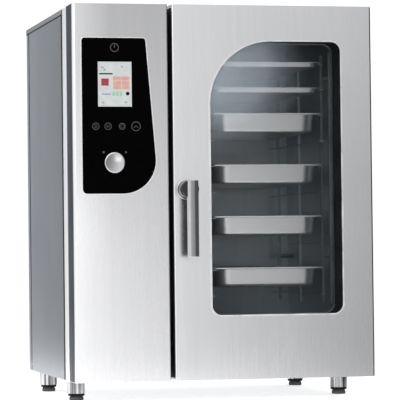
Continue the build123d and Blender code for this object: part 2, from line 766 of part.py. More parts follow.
with BuildPart() as panel_marks:
    with BuildSketch(facing(GLASS_FRONT_Y)):
        with Locations((PANEL_CENTRE_X, POWER_Z)):
            Circle(12)
            Circle(10, mode=Mode.SUBTRACT)
        with Locations((PANEL_CENTRE_X, POWER_Z + 4)):
            Rectangle(2, 9)
        for mark_x, mark_r in zip(TOUCH_X, TOUCH_R):
            with Locations((mark_x, TOUCH_Z)):
                Circle(mark_r)
                Circle(mark_r - 1.8, mode=Mode.SUBTRACT)
        for dot_x in DOT_X:
            with Locations((dot_x, DOT_Z)):
                Circle(3)
    extrude(amount=MARK_T)
finish(panel_marks, "panel_marks")

ENCODER = 26.0
ENCODER_Y = GLASS_FRONT_Y + PANEL_T
ENCODER_D = 14.0
BOARD_Y = ENCODER_Y + ENCODER_D
PLUNGER_R = 8.0
PLUNGER_D = 6.0
PLUNGER_Y = ENCODER_Y + 3.0

BOARD_X = PANEL_CENTRE_X - 5
BOARD_Z = MID_Z + 200
BOARD_W = 150.0
BOARD_H = 380.0
BOARD_T = 1.6
CHIP_W = 26.0
CHIP_H = 34.0
CHIP_D = 9.0
CHIP_STEP_X = 60.0
CHIP_STEP_Z = 90.0

with BuildPart() as control_board:
    with BuildSketch(facing(BOARD_Y)):
        with Locations((BOARD_X, BOARD_Z)):
            Rectangle(BOARD_W, BOARD_H)
    extrude(amount=-BOARD_T)
    with BuildSketch(facing(BOARD_Y + BOARD_T)):
        with Locations((BOARD_X, BOARD_Z)):
            with GridLocations(CHIP_STEP_X, CHIP_STEP_Z, 2, 4):
                Rectangle(CHIP_W, CHIP_H)
    extrude(amount=-CHIP_D)
finish(control_board, "control_board")

with BuildPart() as encoder_housing:
    with BuildSketch(facing(ENCODER_Y)):
        with Locations((KNOB_X, KNOB_Z)):
            Rectangle(ENCODER, ENCODER)
            Circle(STEM_R + 1, mode=Mode.SUBTRACT)
    extrude(amount=-ENCODER_D)
    with BuildSketch(facing(PLUNGER_Y)):
        with Locations((KNOB_X, KNOB_Z)):
            Circle(PLUNGER_R + RUNNING)
    extrude(amount=-(PLUNGER_D + KNOB_TRAVEL + 0.5), mode=Mode.SUBTRACT)
finish(encoder_housing, "encoder_housing")

with BuildPart() as encoder_plunger:
    with BuildSketch(facing(PLUNGER_Y)):
        with Locations((KNOB_X, KNOB_Z)):
            Circle(PLUNGER_R)
            Circle(STEM_R + RUNNING, mode=Mode.SUBTRACT)
    extrude(amount=-PLUNGER_D)
finish(encoder_plunger, "encoder_plunger")

KNOB_BACK_Y = GLASS_FRONT_Y - KNOB_TRAVEL - 0.7
STEM_IN_KNOB = 10.0

with BuildPart() as knob_stem:
    with BuildSketch(facing(KNOB_BACK_Y - STEM_IN_KNOB)):
        with Locations((KNOB_X, KNOB_Z)):
            Circle(STEM_R)
    extrude(amount=-(PLUNGER_Y + PLUNGER_D - KNOB_BACK_Y + STEM_IN_KNOB))
finish(knob_stem, "knob_stem")

with BuildPart() as control_knob:
    with BuildSketch(facing(KNOB_BACK_Y)):
        with Locations((KNOB_X, KNOB_Z)):
            Circle(KNOB_R)
    extrude(amount=KNOB_H)
    knob_rim = control_knob.faces().sort_by(Axis.Y)[0].edges()
    chamfer(knob_rim, length=2.5)
    with BuildSketch(facing(KNOB_BACK_Y)):
        with Locations((KNOB_X, KNOB_Z)):
            Circle(STEM_R)
    extrude(amount=STEM_IN_KNOB, mode=Mode.SUBTRACT)
finish(control_knob, "control_knob")

# ---- Electrical tray with its contactors ------------------------------------

TRAY_WALL_X = -402.0
TRAY_WALL_Y = 60.0
TRAY_WALL_Z = 900.0
TRAY_WALL_T = 2.0
TRAY_WALL_L = 420.0
TRAY_WALL_H = 300.0
CONTACTOR_D = 70.0
CONTACTOR_W = 60.0
CONTACTOR_H = 90.0
CONTACTOR_X = TRAY_WALL_X + (TRAY_WALL_T + CONTACTOR_D) / 2

with BuildPart() as contactor_tray:
    with Locations((TRAY_WALL_X, TRAY_WALL_Y, TRAY_WALL_Z)):
        Box(TRAY_WALL_T, TRAY_WALL_L, TRAY_WALL_H)
    with Locations((CONTACTOR_X, TRAY_WALL_Y, TRAY_WALL_Z)):
        with GridLocations(1, CONTACTOR_H, 1, 4):
            Box(CONTACTOR_D, CONTACTOR_W, CONTACTOR_H)
finish(contactor_tray, "contactor_tray")

# ---- Services: water inlets, cable gland, roof vents ------------------------

VALVE_W = 38.0
VALVE_H = 46.0
VALVE_D = 30.0
INLET_NECK_L = 20.0
GLAND_NUT_R = 21.0
GLAND_NUT_T = 14.0
GLAND_DOME_R = 17.0
GLAND_DOME_T = 12.0
FLUE_FLANGE = 12.0
FLUE_FLANGE_T = 2.0

with BuildPart() as water_inlets:
    with BuildSketch(facing(REAR_Y + INLET_REACH)):
        with Locations(INLET_PLACES):
            Circle(INLET_R)
            Circle(INLET_BORE_R, mode=Mode.SUBTRACT)
    extrude(amount=INLET_THREAD_L)
    with BuildSketch(facing(REAR_Y + INLET_REACH - INLET_THREAD_L)):
        with Locations(INLET_PLACES):
            Circle(INLET_NECK_R)
            Circle(INLET_BORE_R, mode=Mode.SUBTRACT)
    extrude(amount=INLET_NECK_L)
    with BuildSketch(facing(REAR_Y - SHEET)):
        with Locations(INLET_PLACES):
            Rectangle(VALVE_W, VALVE_H)
            Circle(INLET_BORE_R, mode=Mode.SUBTRACT)
    extrude(amount=VALVE_D)
finish(water_inlets, "water_inlets")

with BuildPart() as cable_gland:
    with BuildSketch(facing(REAR_Y)):
        with Locations((GLAND_X, GLAND_Z)):
            RegularPolygon(GLAND_NUT_R, 6)
    extrude(amount=-GLAND_NUT_T)
    with BuildSketch(facing(REAR_Y + GLAND_NUT_T)):
        with Locations((GLAND_X, GLAND_Z)):
            Circle(GLAND_DOME_R)
    extrude(amount=-GLAND_DOME_T)
    with BuildSketch(facing(REAR_Y)):
        with Locations((GLAND_X, GLAND_Z)):
            Circle(GLAND_R)
    extrude(amount=GLAND_DOME_T)
    with BuildSketch(facing(REAR_Y + 30)):
        with Locations((GLAND_X, GLAND_Z)):
            Circle(CABLE_R)
    extrude(amount=50, mode=Mode.SUBTRACT)
finish(cable_gland, "cable_gland")

with BuildPart() as roof_vents:
    for place in VENT_PLACES:
        with BuildSketch(Plane.XY.offset(TOP_Z - VENT_DEPTH)):
            with Locations(place):
                Circle(VENT_NECK_R)
                Circle(VENT_BORE_R, mode=Mode.SUBTRACT)
        extrude(amount=VENT_DEPTH + VENT_REACH)
        with BuildSketch(Plane.XY.offset(TOP_Z + VENT_REACH)):
            with Locations(place):
                Circle(VENT_R)
                Circle(VENT_BORE_R, mode=Mode.SUBTRACT)
        extrude(amount=-VENT_SPIGOT_L)
        with BuildSketch(Plane.XY.offset(TOP_Z)):
            with Locations(place):
                Circle(VENT_R + FLUE_FLANGE)
                Circle(VENT_BORE_R, mode=Mode.SUBTRACT)
        extrude(amount=FLUE_FLANGE_T)
finish(roof_vents, "roof_vents")

# ---- Feet: chrome sleeves and height-adjustable pads ------------------------

STEM_FOOT_R = 8.0
PAD_H = FOOT_H - SLEEVE_H - 0.3
STEM_FOOT_H = 34.0

with BuildPart() as foot_sleeves:
    with BuildSketch(Plane.XY.offset(BASE_Z)):
        with Locations(*FOOT_PLACES.values()):
            Circle(SLEEVE_R)
            Circle(STEM_FOOT_R + RUNNING, mode=Mode.SUBTRACT)
    extrude(amount=-SLEEVE_H)
finish(foot_sleeves, "foot_sleeves")

for place_name, place in FOOT_PLACES.items():
    with BuildPart() as foot_pad:
        with Locations((place[0], place[1], 0)):
            Cylinder(FOOT_PAD_R, PAD_H, align=(Align.CENTER, Align.CENTER, Align.MIN))
        with Locations((place[0], place[1], PAD_H - 6)):
            Cylinder(FOOT_RING_R, 6, align=(Align.CENTER, Align.CENTER, Align.MIN))
        with Locations((place[0], place[1], 0)):
            Cylinder(
                STEM_FOOT_R,
                PAD_H + STEM_FOOT_H,
                align=(Align.CENTER, Align.CENTER, Align.MIN),
            )
    finish(foot_pad, f"foot_pad_{place_name}")

# ---- Hinges: lugs on the frame, pins, and bushes in the door ----------------

LUG_UPPER_Z = TOP_Z - 1.5 - LUG_T
LUG_LOWER_Z = BASE_Z + 1.5

with BuildPart() as hinge_lugs:
    for lug_z in (LUG_UPPER_Z, LUG_LOWER_Z):
        with BuildSketch(Plane.XY.offset(lug_z)):
            with Locations((HINGE_X, HINGE_Y)):
                Circle(LUG_R)
            with Locations((HINGE_X, (HINGE_Y + FRAME_Y) / 2)):
                Rectangle(2 * LUG_R, FRAME_Y - HINGE_Y)
            with Locations((HINGE_X, HINGE_Y)):
                Circle(PIN_R, mode=Mode.SUBTRACT)
        extrude(amount=LUG_T)
finish(hinge_lugs, "hinge_lugs")

with BuildPart() as hinge_pins:
    with BuildSketch(Plane.XY.offset(TOP_Z - 1.5)):
        with Locations((HINGE_X, HINGE_Y)):
            Circle(PIN_R)
    extrude(amount=-PIN_L)
    with BuildSketch(Plane.XY.offset(BASE_Z + 1.5)):
        with Locations((HINGE_X, HINGE_Y)):
            Circle(PIN_R)
    extrude(amount=PIN_L)
finish(hinge_pins, "hinge_pins")

BUSH_CENTRE = (HINGE_X - 0.5, HINGE_Y - 1.0)

with BuildPart() as hinge_bushes:
    for bush_z in (TOP_Z - POCKET_H - BUSH_H, BASE_Z + POCKET_H):
        bush_plan = rounded_plan(bush_z, BUSH_CENTRE, BUSH_W, BUSH_D, 1.0, 7.0)
        extrude(bush_plan, amount=BUSH_H)
        with Locations((HINGE_X, HINGE_Y, bush_z + BUSH_H / 2)):
            Cylinder(PIN_R + RUNNING, BUSH_H, mode=Mode.SUBTRACT)
finish(hinge_bushes, "hinge_bushes")

# ---- Latch keeper: cup behind the frame with a roller post ------------------

with BuildPart() as latch_keeper:
    with Locations((HANDLE_X, FRAME_Y + FRAME_SHEET + KEEPER_D / 2, HANDLE_Z)):
        Box(KEEPER + 4, KEEPER_D, KEEPER + 4)
    with Locations((HANDLE_X, FRAME_Y + FRAME_SHEET + KEEPER_D / 2 - 2, HANDLE_Z)):
        Box(KEEPER, KEEPER_D, KEEPER, mode=Mode.SUBTRACT)
    with Locations((HANDLE_X - KEEPER / 2 + 6, FRAME_Y + 22, HANDLE_Z)):
        Cylinder(4, KEEPER)
finish(latch_keeper, "latch_keeper")

# ---- Door: skin, inner panel, window ----------------------------------------

DOOR_SKIN_BACK_Y = DOOR_BACK_Y - INNER_PANEL_T
DOOR_SKIN_D = DOOR_SKIN_BACK_Y - FRONT_Y
DOOR_X = (DOOR_LEFT_X + RIGHT_X) / 2
DOOR_SKIN_Y = (FRONT_Y + DOOR_SKIN_BACK_Y) / 2
HINGE_CORNER_R = 8.0
RETURN = 16.0
POCKET_X = HINGE_X - 16.0
POCKET_Y = HINGE_Y - 24.0
POCKET_W = RIGHT_X - POCKET_X
POCKET_D = FRAME_Y - POCKET_Y

DOOR_CENTRE = (DOOR_X, DOOR_SKIN_Y)

with BuildPart() as door_skin:
    door_block = rounded_plan(BASE_Z, DOOR_CENTRE, DOOR_W, DOOR_SKIN_D, EDGE_R, HINGE_CORNER_R)
    extrude(door_block, amount=BODY_H)
    door_hollow = rounded_plan(
        BASE_Z + SHEET,
        DOOR_CENTRE,
        DOOR_W - 2 * SHEET,
        DOOR_SKIN_D - 2 * SHEET,
        EDGE_R - SHEET,
        HINGE_CORNER_R - SHEET,
    )
    extrude(door_hollow, amount=BODY_H - 2 * SHEET, mode=Mode.SUBTRACT)
    with Locations((DOOR_X, DOOR_SKIN_BACK_Y, MID_Z)):
        Box(DOOR_W - 2 * RETURN, 12, BODY_H - 2 * RETURN, mode=Mode.SUBTRACT)
    for pocket_z in (BASE_Z + POCKET_H / 2, TOP_Z - POCKET_H / 2):
        with Locations((POCKET_X + POCKET_W / 2, POCKET_Y + POCKET_D / 2, pocket_z)):
            Box(POCKET_W, POCKET_D, POCKET_H, mode=Mode.SUBTRACT)
    extrude(window_outline(FRONT_Y - 1, TRIM_W), amount=-4, mode=Mode.SUBTRACT)
    with BuildSketch(facing(FRONT_Y - 1)):
        with Locations((HANDLE_X, HANDLE_Z)):
            Circle(SPINDLE_R + 1)
    extrude(amount=-4, mode=Mode.SUBTRACT)
finish(door_skin, "door_skin")

INNER_LEFT_X = DOOR_LEFT_X + 8.0
INNER_RIGHT_X = HINGE_X - 17.0
INNER_MARGIN_Z = 10.0

with BuildPart() as door_inner_panel:
    with BuildSketch(facing(DOOR_BACK_Y)):
        with Locations(((INNER_LEFT_X + INNER_RIGHT_X) / 2, MID_Z)):
            Rectangle(INNER_RIGHT_X - INNER_LEFT_X, BODY_H - 2 * INNER_MARGIN_Z)
        with Locations((HANDLE_X, HANDLE_Z)):
            Circle(SPINDLE_R + 1, mode=Mode.SUBTRACT)
    extrude(amount=INNER_PANEL_T)
    extrude(window_outline(DOOR_BACK_Y + 1, 0), amount=2 * INNER_PANEL_T, mode=Mode.SUBTRACT)
finish(door_inner_panel, "door_inner_panel")

OUTER_GLASS_Y = FRONT_Y + SHEET
INNER_GLASS_Y = DOOR_SKIN_BACK_Y - GLASS_T

with BuildPart() as window_trim:
    extrude(window_outline(FRONT_Y - 1.5, TRIM_W), amount=-(SHEET + 1.5))
    extrude(window_outline(FRONT_Y - 1.5, 0), amount=-(SHEET + 1.5), mode=Mode.SUBTRACT)
finish(window_trim, "window_trim")

with BuildPart() as outer_glass:
    extrude(window_outline(OUTER_GLASS_Y, GLASS_LAP), amount=-GLASS_T)
finish(outer_glass, "outer_glass")

GLAZING_GAP = INNER_GLASS_Y - OUTER_GLASS_Y - GLASS_T

with BuildPart() as glazing_frame:
    extrude(window_outline(OUTER_GLASS_Y + GLASS_T, 5), amount=-GLAZING_GAP)
    extrude(window_outline(OUTER_GLASS_Y + GLASS_T, 2), amount=-GLAZING_GAP, mode=Mode.SUBTRACT)
finish(glazing_frame, "glazing_frame")

with BuildPart() as inner_glass:
    extrude(window_outline(INNER_GLASS_Y, GLASS_LAP), amount=-GLASS_T)
finish(inner_glass, "inner_glass")

# ---- Drip tray along the door's lower inside edge ---------------------------

DRIP_Z = 190.0
DRIP_REACH = 5.6

with BuildPart() as drip_tray:
    with BuildSketch(facing(DOOR_BACK_Y)):
        with Locations((MOUTH_X - 8, DRIP_Z - 10)):
            Rectangle(MOUTH_W - 20, 14)
    extrude(amount=-DRIP_REACH)
    with BuildSketch(facing(DOOR_BACK_Y + DRIP_REACH - 1.2)):
        with Locations((MOUTH_X - 8, DRIP_Z - 8)):
            Rectangle(MOUTH_W - 23, 14)
    extrude(amount=DRIP_REACH - 2.4, mode=Mode.SUBTRACT)
finish(drip_tray, "drip_tray")

# ---- Handle: rosette on the door, lever, spindle with its cam ---------------

LEVER_FRONT_Y = FRONT_Y - HANDLE_REACH
LEVER_BACK_Y = LEVER_FRONT_Y + HANDLE_T
ROSETTE_T = 3.0

with BuildPart() as handle_rosette:
    with BuildSketch(facing(FRONT_Y)):
        with Locations((HANDLE_X, HANDLE_Z)):
            Circle(BOSS_R + 3)
            Circle(SPINDLE_R + RUNNING, mode=Mode.SUBTRACT)
    extrude(amount=ROSETTE_T)
    rosette_edge = handle_rosette.faces().sort_by(Axis.Y)[0].edges().sort_by(SortBy.LENGTH)[-1]
    fillet(rosette_edge, radius=1.5)
finish(handle_rosette, "handle_rosette")

BOSS_BACK_Y = FRONT_Y - ROSETTE_T - 0.5
LEVER_BEVEL = 6.0
LEVER_RIDGE = 3.0
LEVER_FALL = 4.5
LEVER_X = HANDLE_X + LEVER_SHIFT

with BuildPart() as handle_lever:
    with BuildSketch(facing(BOSS_BACK_Y)):
        with Locations((HANDLE_X, HANDLE_Z)):
            Circle(BOSS_R)
    extrude(amount=BOSS_BACK_Y - LEVER_BACK_Y + 1)
    boss_rim = handle_lever.faces().sort_by(Axis.Y)[0].edges()
    chamfer(boss_rim, length=LEVER_BEVEL / 2)
    with BuildSketch(Plane.XY.offset(HANDLE_Z - HANDLE_DROP)):
        with BuildLine():
            Polyline(
                (LEVER_X - HANDLE_W / 2, LEVER_BACK_Y),
                (LEVER_X - HANDLE_W / 2, LEVER_FRONT_Y + LEVER_BEVEL),
                (LEVER_X - HANDLE_W / 2 + LEVER_BEVEL, LEVER_FRONT_Y),
                (LEVER_X + LEVER_RIDGE, LEVER_FRONT_Y),
                (LEVER_X + HANDLE_W / 2, LEVER_FRONT_Y + LEVER_FALL),
                (LEVER_X + HANDLE_W / 2, LEVER_BACK_Y),
                close=True,
            )
        make_face()
    extrude(amount=HANDLE_DROP + LEVER_RISE)
    with BuildSketch(facing(LEVER_BACK_Y)):
        with Locations((HANDLE_X, HANDLE_Z)):
            Circle(SPINDLE_R)
    extrude(amount=-(HANDLE_REACH - HANDLE_T), mode=Mode.SUBTRACT)
finish(handle_lever, "handle_lever")

CAM_Y = FRAME_Y + 8.0

with BuildPart() as handle_spindle:
    with BuildSketch(facing(CAM_Y + CAM_T)):
        with Locations((HANDLE_X, HANDLE_Z)):
            Circle(SPINDLE_R)
    extrude(amount=CAM_Y + CAM_T - LEVER_BACK_Y)
    with BuildSketch(facing(CAM_Y + CAM_T)):
        with Locations((HANDLE_X, HANDLE_Z)):
            Circle(14)
        with Locations((HANDLE_X - CAM_R / 2, HANDLE_Z)):
            Rectangle(CAM_R, 14)
    extrude(amount=CAM_T)
finish(handle_spindle, "handle_spindle")

# ---- Pans and trays ---------------------------------------------------------


def gastronorm(level, depth, corner_r, foot_r):
    """One pressed container hanging by its rim on the rails of a level."""
    top_z = rim_z(level)
    body_w = GN_W - 2 * GN_RIM
    body_l = GN_L - 2 * GN_RIM
    with BuildPart() as container:
        with BuildSketch(Plane.XY.offset(top_z - depth)):
            with Locations((GN_CENTRE_X, GN_Y)):
                RectangleRounded(body_w, body_l, corner_r)
        extrude(amount=depth)
        foot_edges = container.faces().sort_by(Axis.Z)[0].edges()
        fillet(foot_edges, radius=foot_r)
        with BuildSketch(Plane.XY.offset(top_z - GN_RIM_T)):
            with Locations((GN_CENTRE_X, GN_Y)):
                RectangleRounded(GN_W, GN_L, 14)
        extrude(amount=GN_RIM_T)
        with BuildSketch(Plane.XY.offset(top_z - depth + GN_WALL)):
            with Locations((GN_CENTRE_X, GN_Y)):
                RectangleRounded(
                    body_w - 2 * GN_WALL,
                    body_l - 2 * GN_WALL,
                    corner_r - GN_WALL,
                )
        extrude(amount=depth, mode=Mode.SUBTRACT)
    return container


for number, level in enumerate(PAN_LEVELS, start=1):
    finish(gastronorm(level, PAN_DEPTH, GN_R, 1.0), f"pan_{number}")

for number, level in enumerate(TRAY_LEVELS, start=1):
    finish(gastronorm(level, TRAY_DEPTH, 20.0, 1.0), f"tray_{number}")
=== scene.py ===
import bpy, bmesh, math
from mathutils import Matrix, Vector

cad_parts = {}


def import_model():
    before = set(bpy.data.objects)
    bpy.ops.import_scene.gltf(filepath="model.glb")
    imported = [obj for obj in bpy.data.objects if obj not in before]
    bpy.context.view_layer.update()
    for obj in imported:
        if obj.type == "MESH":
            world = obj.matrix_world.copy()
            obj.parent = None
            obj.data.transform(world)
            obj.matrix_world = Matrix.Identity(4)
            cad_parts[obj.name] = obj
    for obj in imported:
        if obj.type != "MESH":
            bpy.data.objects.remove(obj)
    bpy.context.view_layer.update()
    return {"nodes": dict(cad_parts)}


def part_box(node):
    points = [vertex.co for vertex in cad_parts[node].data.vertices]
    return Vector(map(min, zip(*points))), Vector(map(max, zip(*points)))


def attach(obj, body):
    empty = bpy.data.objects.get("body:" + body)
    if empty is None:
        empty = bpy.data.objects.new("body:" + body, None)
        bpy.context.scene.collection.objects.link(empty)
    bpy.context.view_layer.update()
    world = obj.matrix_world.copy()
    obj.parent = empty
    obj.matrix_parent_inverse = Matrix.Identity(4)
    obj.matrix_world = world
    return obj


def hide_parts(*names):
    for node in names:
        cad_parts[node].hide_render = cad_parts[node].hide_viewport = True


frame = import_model()
NODES = frame["nodes"]

# ---------------------------------------------------------------- node helpers


class Shader:
    """A Principled material with short calls for its texture nodes."""

    def __init__(self, name, color, metallic, roughness):
        self.material = bpy.data.materials.new(name)
        self.material.use_nodes = True
        self.nodes = self.material.node_tree.nodes
        self.links = self.material.node_tree.links
        self.bsdf = self.nodes["Principled BSDF"]
        self.bsdf.inputs["Base Color"].default_value = (*color, 1.0)
        self.bsdf.inputs["Metallic"].default_value = metallic
        self.bsdf.inputs["Roughness"].default_value = roughness
        self.material.diffuse_color = (*color, 1.0)
        self.coordinates = self.nodes.new("ShaderNodeTexCoord").outputs["Object"]

    def stretched(self, scale):
        mapping = self.nodes.new("ShaderNodeMapping")
        mapping.inputs["Scale"].default_value = scale
        self.links.new(self.coordinates, mapping.inputs["Vector"])
        return mapping.outputs["Vector"]

    def noise(self, vector, scale, detail=4.0, rough=0.55):
        texture = self.nodes.new("ShaderNodeTexNoise")
        texture.inputs["Scale"].default_value = scale
        texture.inputs["Detail"].default_value = detail
        texture.inputs["Roughness"].default_value = rough
        self.links.new(vector, texture.inputs["Vector"])
        return texture.outputs["Fac"]

    def spread(self, value, low, high, start=0.3, stop=0.7):
        """Map a texture value to a range."""
        node = self.nodes.new("ShaderNodeMapRange")
        node.inputs["From Min"].default_value = start
        node.inputs["From Max"].default_value = stop
        node.inputs["To Min"].default_value = low
        node.inputs["To Max"].default_value = high
        self.links.new(value, node.inputs["Value"])
        return node.outputs["Result"]

    def tint(self, value, dark, light, start=0.3, stop=0.7):
        ramp = self.nodes.new("ShaderNodeValToRGB")
        ramp.color_ramp.elements[0].position = start
        ramp.color_ramp.elements[0].color = (*dark, 1.0)
        ramp.color_ramp.elements[1].position = stop
        ramp.color_ramp.elements[1].color = (*light, 1.0)
        self.links.new(value, ramp.inputs["Fac"])
        return ramp.outputs["Color"]

    def math(self, operation, first, second):
        node = self.nodes.new("ShaderNodeMath")
        node.operation = operation
        for socket, value in zip(node.inputs, (first, second)):
            if isinstance(value, (int, float)):
                socket.default_value = value
            else:
                self.links.new(value, socket)
        return node.outputs["Value"]

    def bump(self, height, strength, distance):
        node = self.nodes.new("ShaderNodeBump")
        node.inputs["Strength"].default_value = strength
        node.inputs["Distance"].default_value = distance
        self.links.new(height, node.inputs["Height"])
        self.links.new(node.outputs["Normal"], self.bsdf.inputs["Normal"])

    def across(self, axis, low, high):
        """0 to 1 between two places along one axis of the oven."""
        split = self.nodes.new("ShaderNodeSeparateXYZ")
        self.links.new(self.coordinates, split.inputs["Vector"])
        return self.spread(split.outputs[axis], 0.0, 1.0, low, high)

    def blend(self, share, low, high):
        node = self.nodes.new("ShaderNodeMix")
        for socket, value in (("Factor", share), ("A", low), ("B", high)):
            if isinstance(value, (int, float)):
                node.inputs[socket].default_value = value
            else:
                self.links.new(value, node.inputs[socket])
        return node.outputs["Result"]

    def dim(self, color, factor):
        node = self.nodes.new("ShaderNodeVectorMath")
        node.operation = "SCALE"
        self.links.new(color, node.inputs[0])
        self.links.new(factor, node.inputs["Scale"])
        return node.outputs["Vector"]

    def use(self, socket, value):
        self.links.new(value, self.bsdf.inputs[socket])


def scaled(color, factor):
    return tuple(min(1.0, channel * factor) for channel in color)


def brushed(name, color, roughness, grain, contrast, smudge, bump, painted_light_and_shade=None, metal=1.0):
    """Brushed sheet: long fine streaks along one axis, soft smudges, tiny scratches.

    The optional corner factors are painted light and shade: two axes with their limits, and how
    light the sheet is painted at the low-low, high-low, low-high and high-high corners.
    """
    shader = Shader(name, color, metal, roughness)
    stretch = {"x": (1.2, 260, 260), "y": (260, 1.2, 260), "z": (260, 260, 1.2)}[grain]
    wide = {"x": (0.5, 40, 40), "y": (40, 0.5, 40), "z": (40, 40, 0.5)}[grain]
    streaks = shader.noise(shader.stretched(stretch), 4.0, 6.0, 0.7)
    reflection_bands = shader.noise(shader.stretched(wide), 1.6, 3.0)
    clouds = shader.noise(shader.coordinates, 2.3, 3.0)
    blend = shader.math("ADD", shader.math("MULTIPLY", streaks, 0.6), shader.math("MULTIPLY", reflection_bands, 0.4))
    steel = shader.tint(blend, scaled(color, 1 - contrast), scaled(color, 1 + contrast))
    # painted light and shade: the colour is scaled lighter or darker towards the sheet's corners
    if painted_light_and_shade:
        first, second, (low_low, high_low, low_high, high_high) = painted_light_and_shade
        along, up = shader.across(*first), shader.across(*second)
        foot = shader.blend(along, low_low, high_low)
        head = shader.blend(along, low_high, high_high)
        steel = shader.dim(steel, shader.blend(up, foot, head))
    shader.use("Base Color", steel)
    rough_streaks = shader.spread(streaks, roughness - smudge, roughness + smudge)
    rough_clouds = shader.spread(clouds, -smudge * 0.6, smudge * 0.8)
    shader.use("Roughness", shader.math("ADD", rough_streaks, rough_clouds))
    shader.bump(streaks, bump, 0.0004)
    return shader.material


def polished(name, color, roughness):
    """Chrome or turned metal with faint smudges and hairlines."""
    shader = Shader(name, color, 1.0, roughness)
    clouds = shader.noise(shader.coordinates, 22.0, 5.0)
    hair = shader.noise(shader.stretched((40, 40, 900)), 3.0, 2.0)
    shader.use("Roughness", shader.spread(clouds, roughness * 0.6, roughness * 1.9))
    shader.use("Base Color", shader.tint(clouds, scaled(color, 0.93), scaled(color, 1.04)))
    shader.bump(hair, 0.03, 0.0002)
    return shader.material


def reflection_banded(name, dark, light):
    """Chrome tube with a painted reflection: upright light and dark bands, as a curved mirror shows."""
    shader = Shader(name, light, 1.0, 0.15)
    reflection_bands = shader.noise(shader.stretched((42, 42, 0.4)), 2.2, 1.5)
    hair = shader.noise(shader.stretched((900, 900, 20)), 3.0, 2.0)
    # painted reflection: colour runs from dark to light in upright bands
    shader.use("Base Color", shader.tint(reflection_bands, dark, light, 0.42, 0.58))
    shader.use("Roughness", shader.spread(hair, 0.1, 0.22))
    shader.bump(hair, 0.03, 0.0002)
    return shader.material


def moulded(name, color, roughness, grain_scale=420.0, bump=0.15, sheen=0.5):
    """Moulded plastic or rubber with a fine grain and dusty high spots."""
    shader = Shader(name, color, 0.0, roughness)
    shader.bsdf.inputs["Specular IOR Level"].default_value = sheen
    grain = shader.noise(shader.coordinates, grain_scale, 3.0)
    clouds = shader.noise(shader.coordinates, 9.0, 4.0)
    shader.use("Base Color", shader.tint(clouds, scaled(color, 0.8), scaled(color, 1.35)))
    shader.use("Roughness", shader.spread(clouds, roughness - 0.06, roughness + 0.08))
    shader.bump(grain, bump, 0.0003)
    return shader.material


def gloss_black(name):
    """Black printed glass, with fingerprints only in its roughness."""
    shader = Shader(name, (0.0012, 0.0012, 0.0014), 0.0, 0.06)
    prints = shader.noise(shader.coordinates, 60.0, 6.0, 0.6)
    shader.use("Roughness", shader.spread(prints, 0.04, 0.12, 0.45, 0.75))
    shader.use("Base Color", shader.tint(prints, (0.0009, 0.0009, 0.001), (0.0016, 0.0016, 0.0018)))
    shader.bsdf.inputs["Specular IOR Level"].default_value = 0.012
    return shader.material


def window_glass(name, color, alpha, painted_glare=0.0):
    """Thin tinted pane. With the last factor, it has a painted reflection towards its upper left corner,
    lighter and less clear there.
    """
    shader = Shader(name, color, 0.0, 0.05)
    film = shader.noise(shader.coordinates, 5.0, 4.0)
    shader.use("Roughness", shader.spread(film, 0.03, 0.09))
    shader.bsdf.inputs["Specular IOR Level"].default_value = 0.12
    if not painted_glare:
        shader.use("Base Color", shader.tint(film, scaled(color, 0.85), scaled(color, 1.15)))
        shader.use("Alpha", shader.spread(film, alpha - 0.01, alpha + 0.01))
        return shader.material
    place = shader.nodes.new("ShaderNodeMapping")
    place.vector_type = "TEXTURE"
    place.inputs["Location"].default_value = PAINTED_GLARE_CENTRE
    place.inputs["Scale"].default_value = PAINTED_GLARE_REACH
    shader.links.new(shader.coordinates, place.inputs["Vector"])
    reach = shader.nodes.new("ShaderNodeVectorMath")
    reach.operation = "LENGTH"
    shader.links.new(place.outputs["Vector"], reach.inputs[0])
    glare_fade = shader.math("POWER", shader.spread(reach.outputs["Value"], 1.0, 0.0, 0.0, 1.0), 1.5)
    painted_glare_share = shader.math("MULTIPLY", glare_fade, shader.spread(film, 0.94, 1.06))
    # painted reflection: the pane is lighter and more opaque towards its upper left
    shader.use("Base Color", shader.tint(glare_fade, color, (0.62, 0.70, 0.78), 0.0, 0.25))
    shader.use("Alpha", shader.math("ADD", shader.math("MULTIPLY", painted_glare_share, painted_glare), alpha))
    return shader.material


def glowing(name, color, strength):
    """A patch of the lit display, a little uneven as a backlight is."""
    shader = Shader(name, color, 0.0, 0.25)
    unevenness = shader.noise(shader.coordinates, 55.0, 2.0)
    shader.use("Base Color", shader.tint(unevenness, scaled(color, 0.14), scaled(color, 0.18)))
    shader.use("Emission Color", shader.tint(unevenness, scaled(color, 0.92), scaled(color, 1.05)))
    shader.bsdf.inputs["Emission Strength"].default_value = strength
    shader.bsdf.inputs["Specular IOR Level"].default_value = 0.1
    return shader.material


def wool(name):
    shader = Shader(name, (0.62, 0.55, 0.33), 0.0, 0.95)
    fibres = shader.noise(shader.stretched((300, 60, 300)), 3.0, 8.0, 0.8)
    shader.use("Base Color", shader.tint(fibres, (0.45, 0.38, 0.2), (0.75, 0.68, 0.45)))
    shader.bump(fibres, 0.8, 0.003)
    return shader.material


def heated(name):
    """Heater tube, darkened and blued by heat."""
    shader = Shader(name, (0.2, 0.18, 0.17), 1.0, 0.45)
    tone = shader.noise(shader.coordinates, 14.0, 4.0)
    shader.use("Base Color", shader.tint(tone, (0.12, 0.1, 0.11), (0.34, 0.27, 0.2)))
    shader.use("Roughness", shader.spread(tone, 0.35, 0.6))
    return shader.material


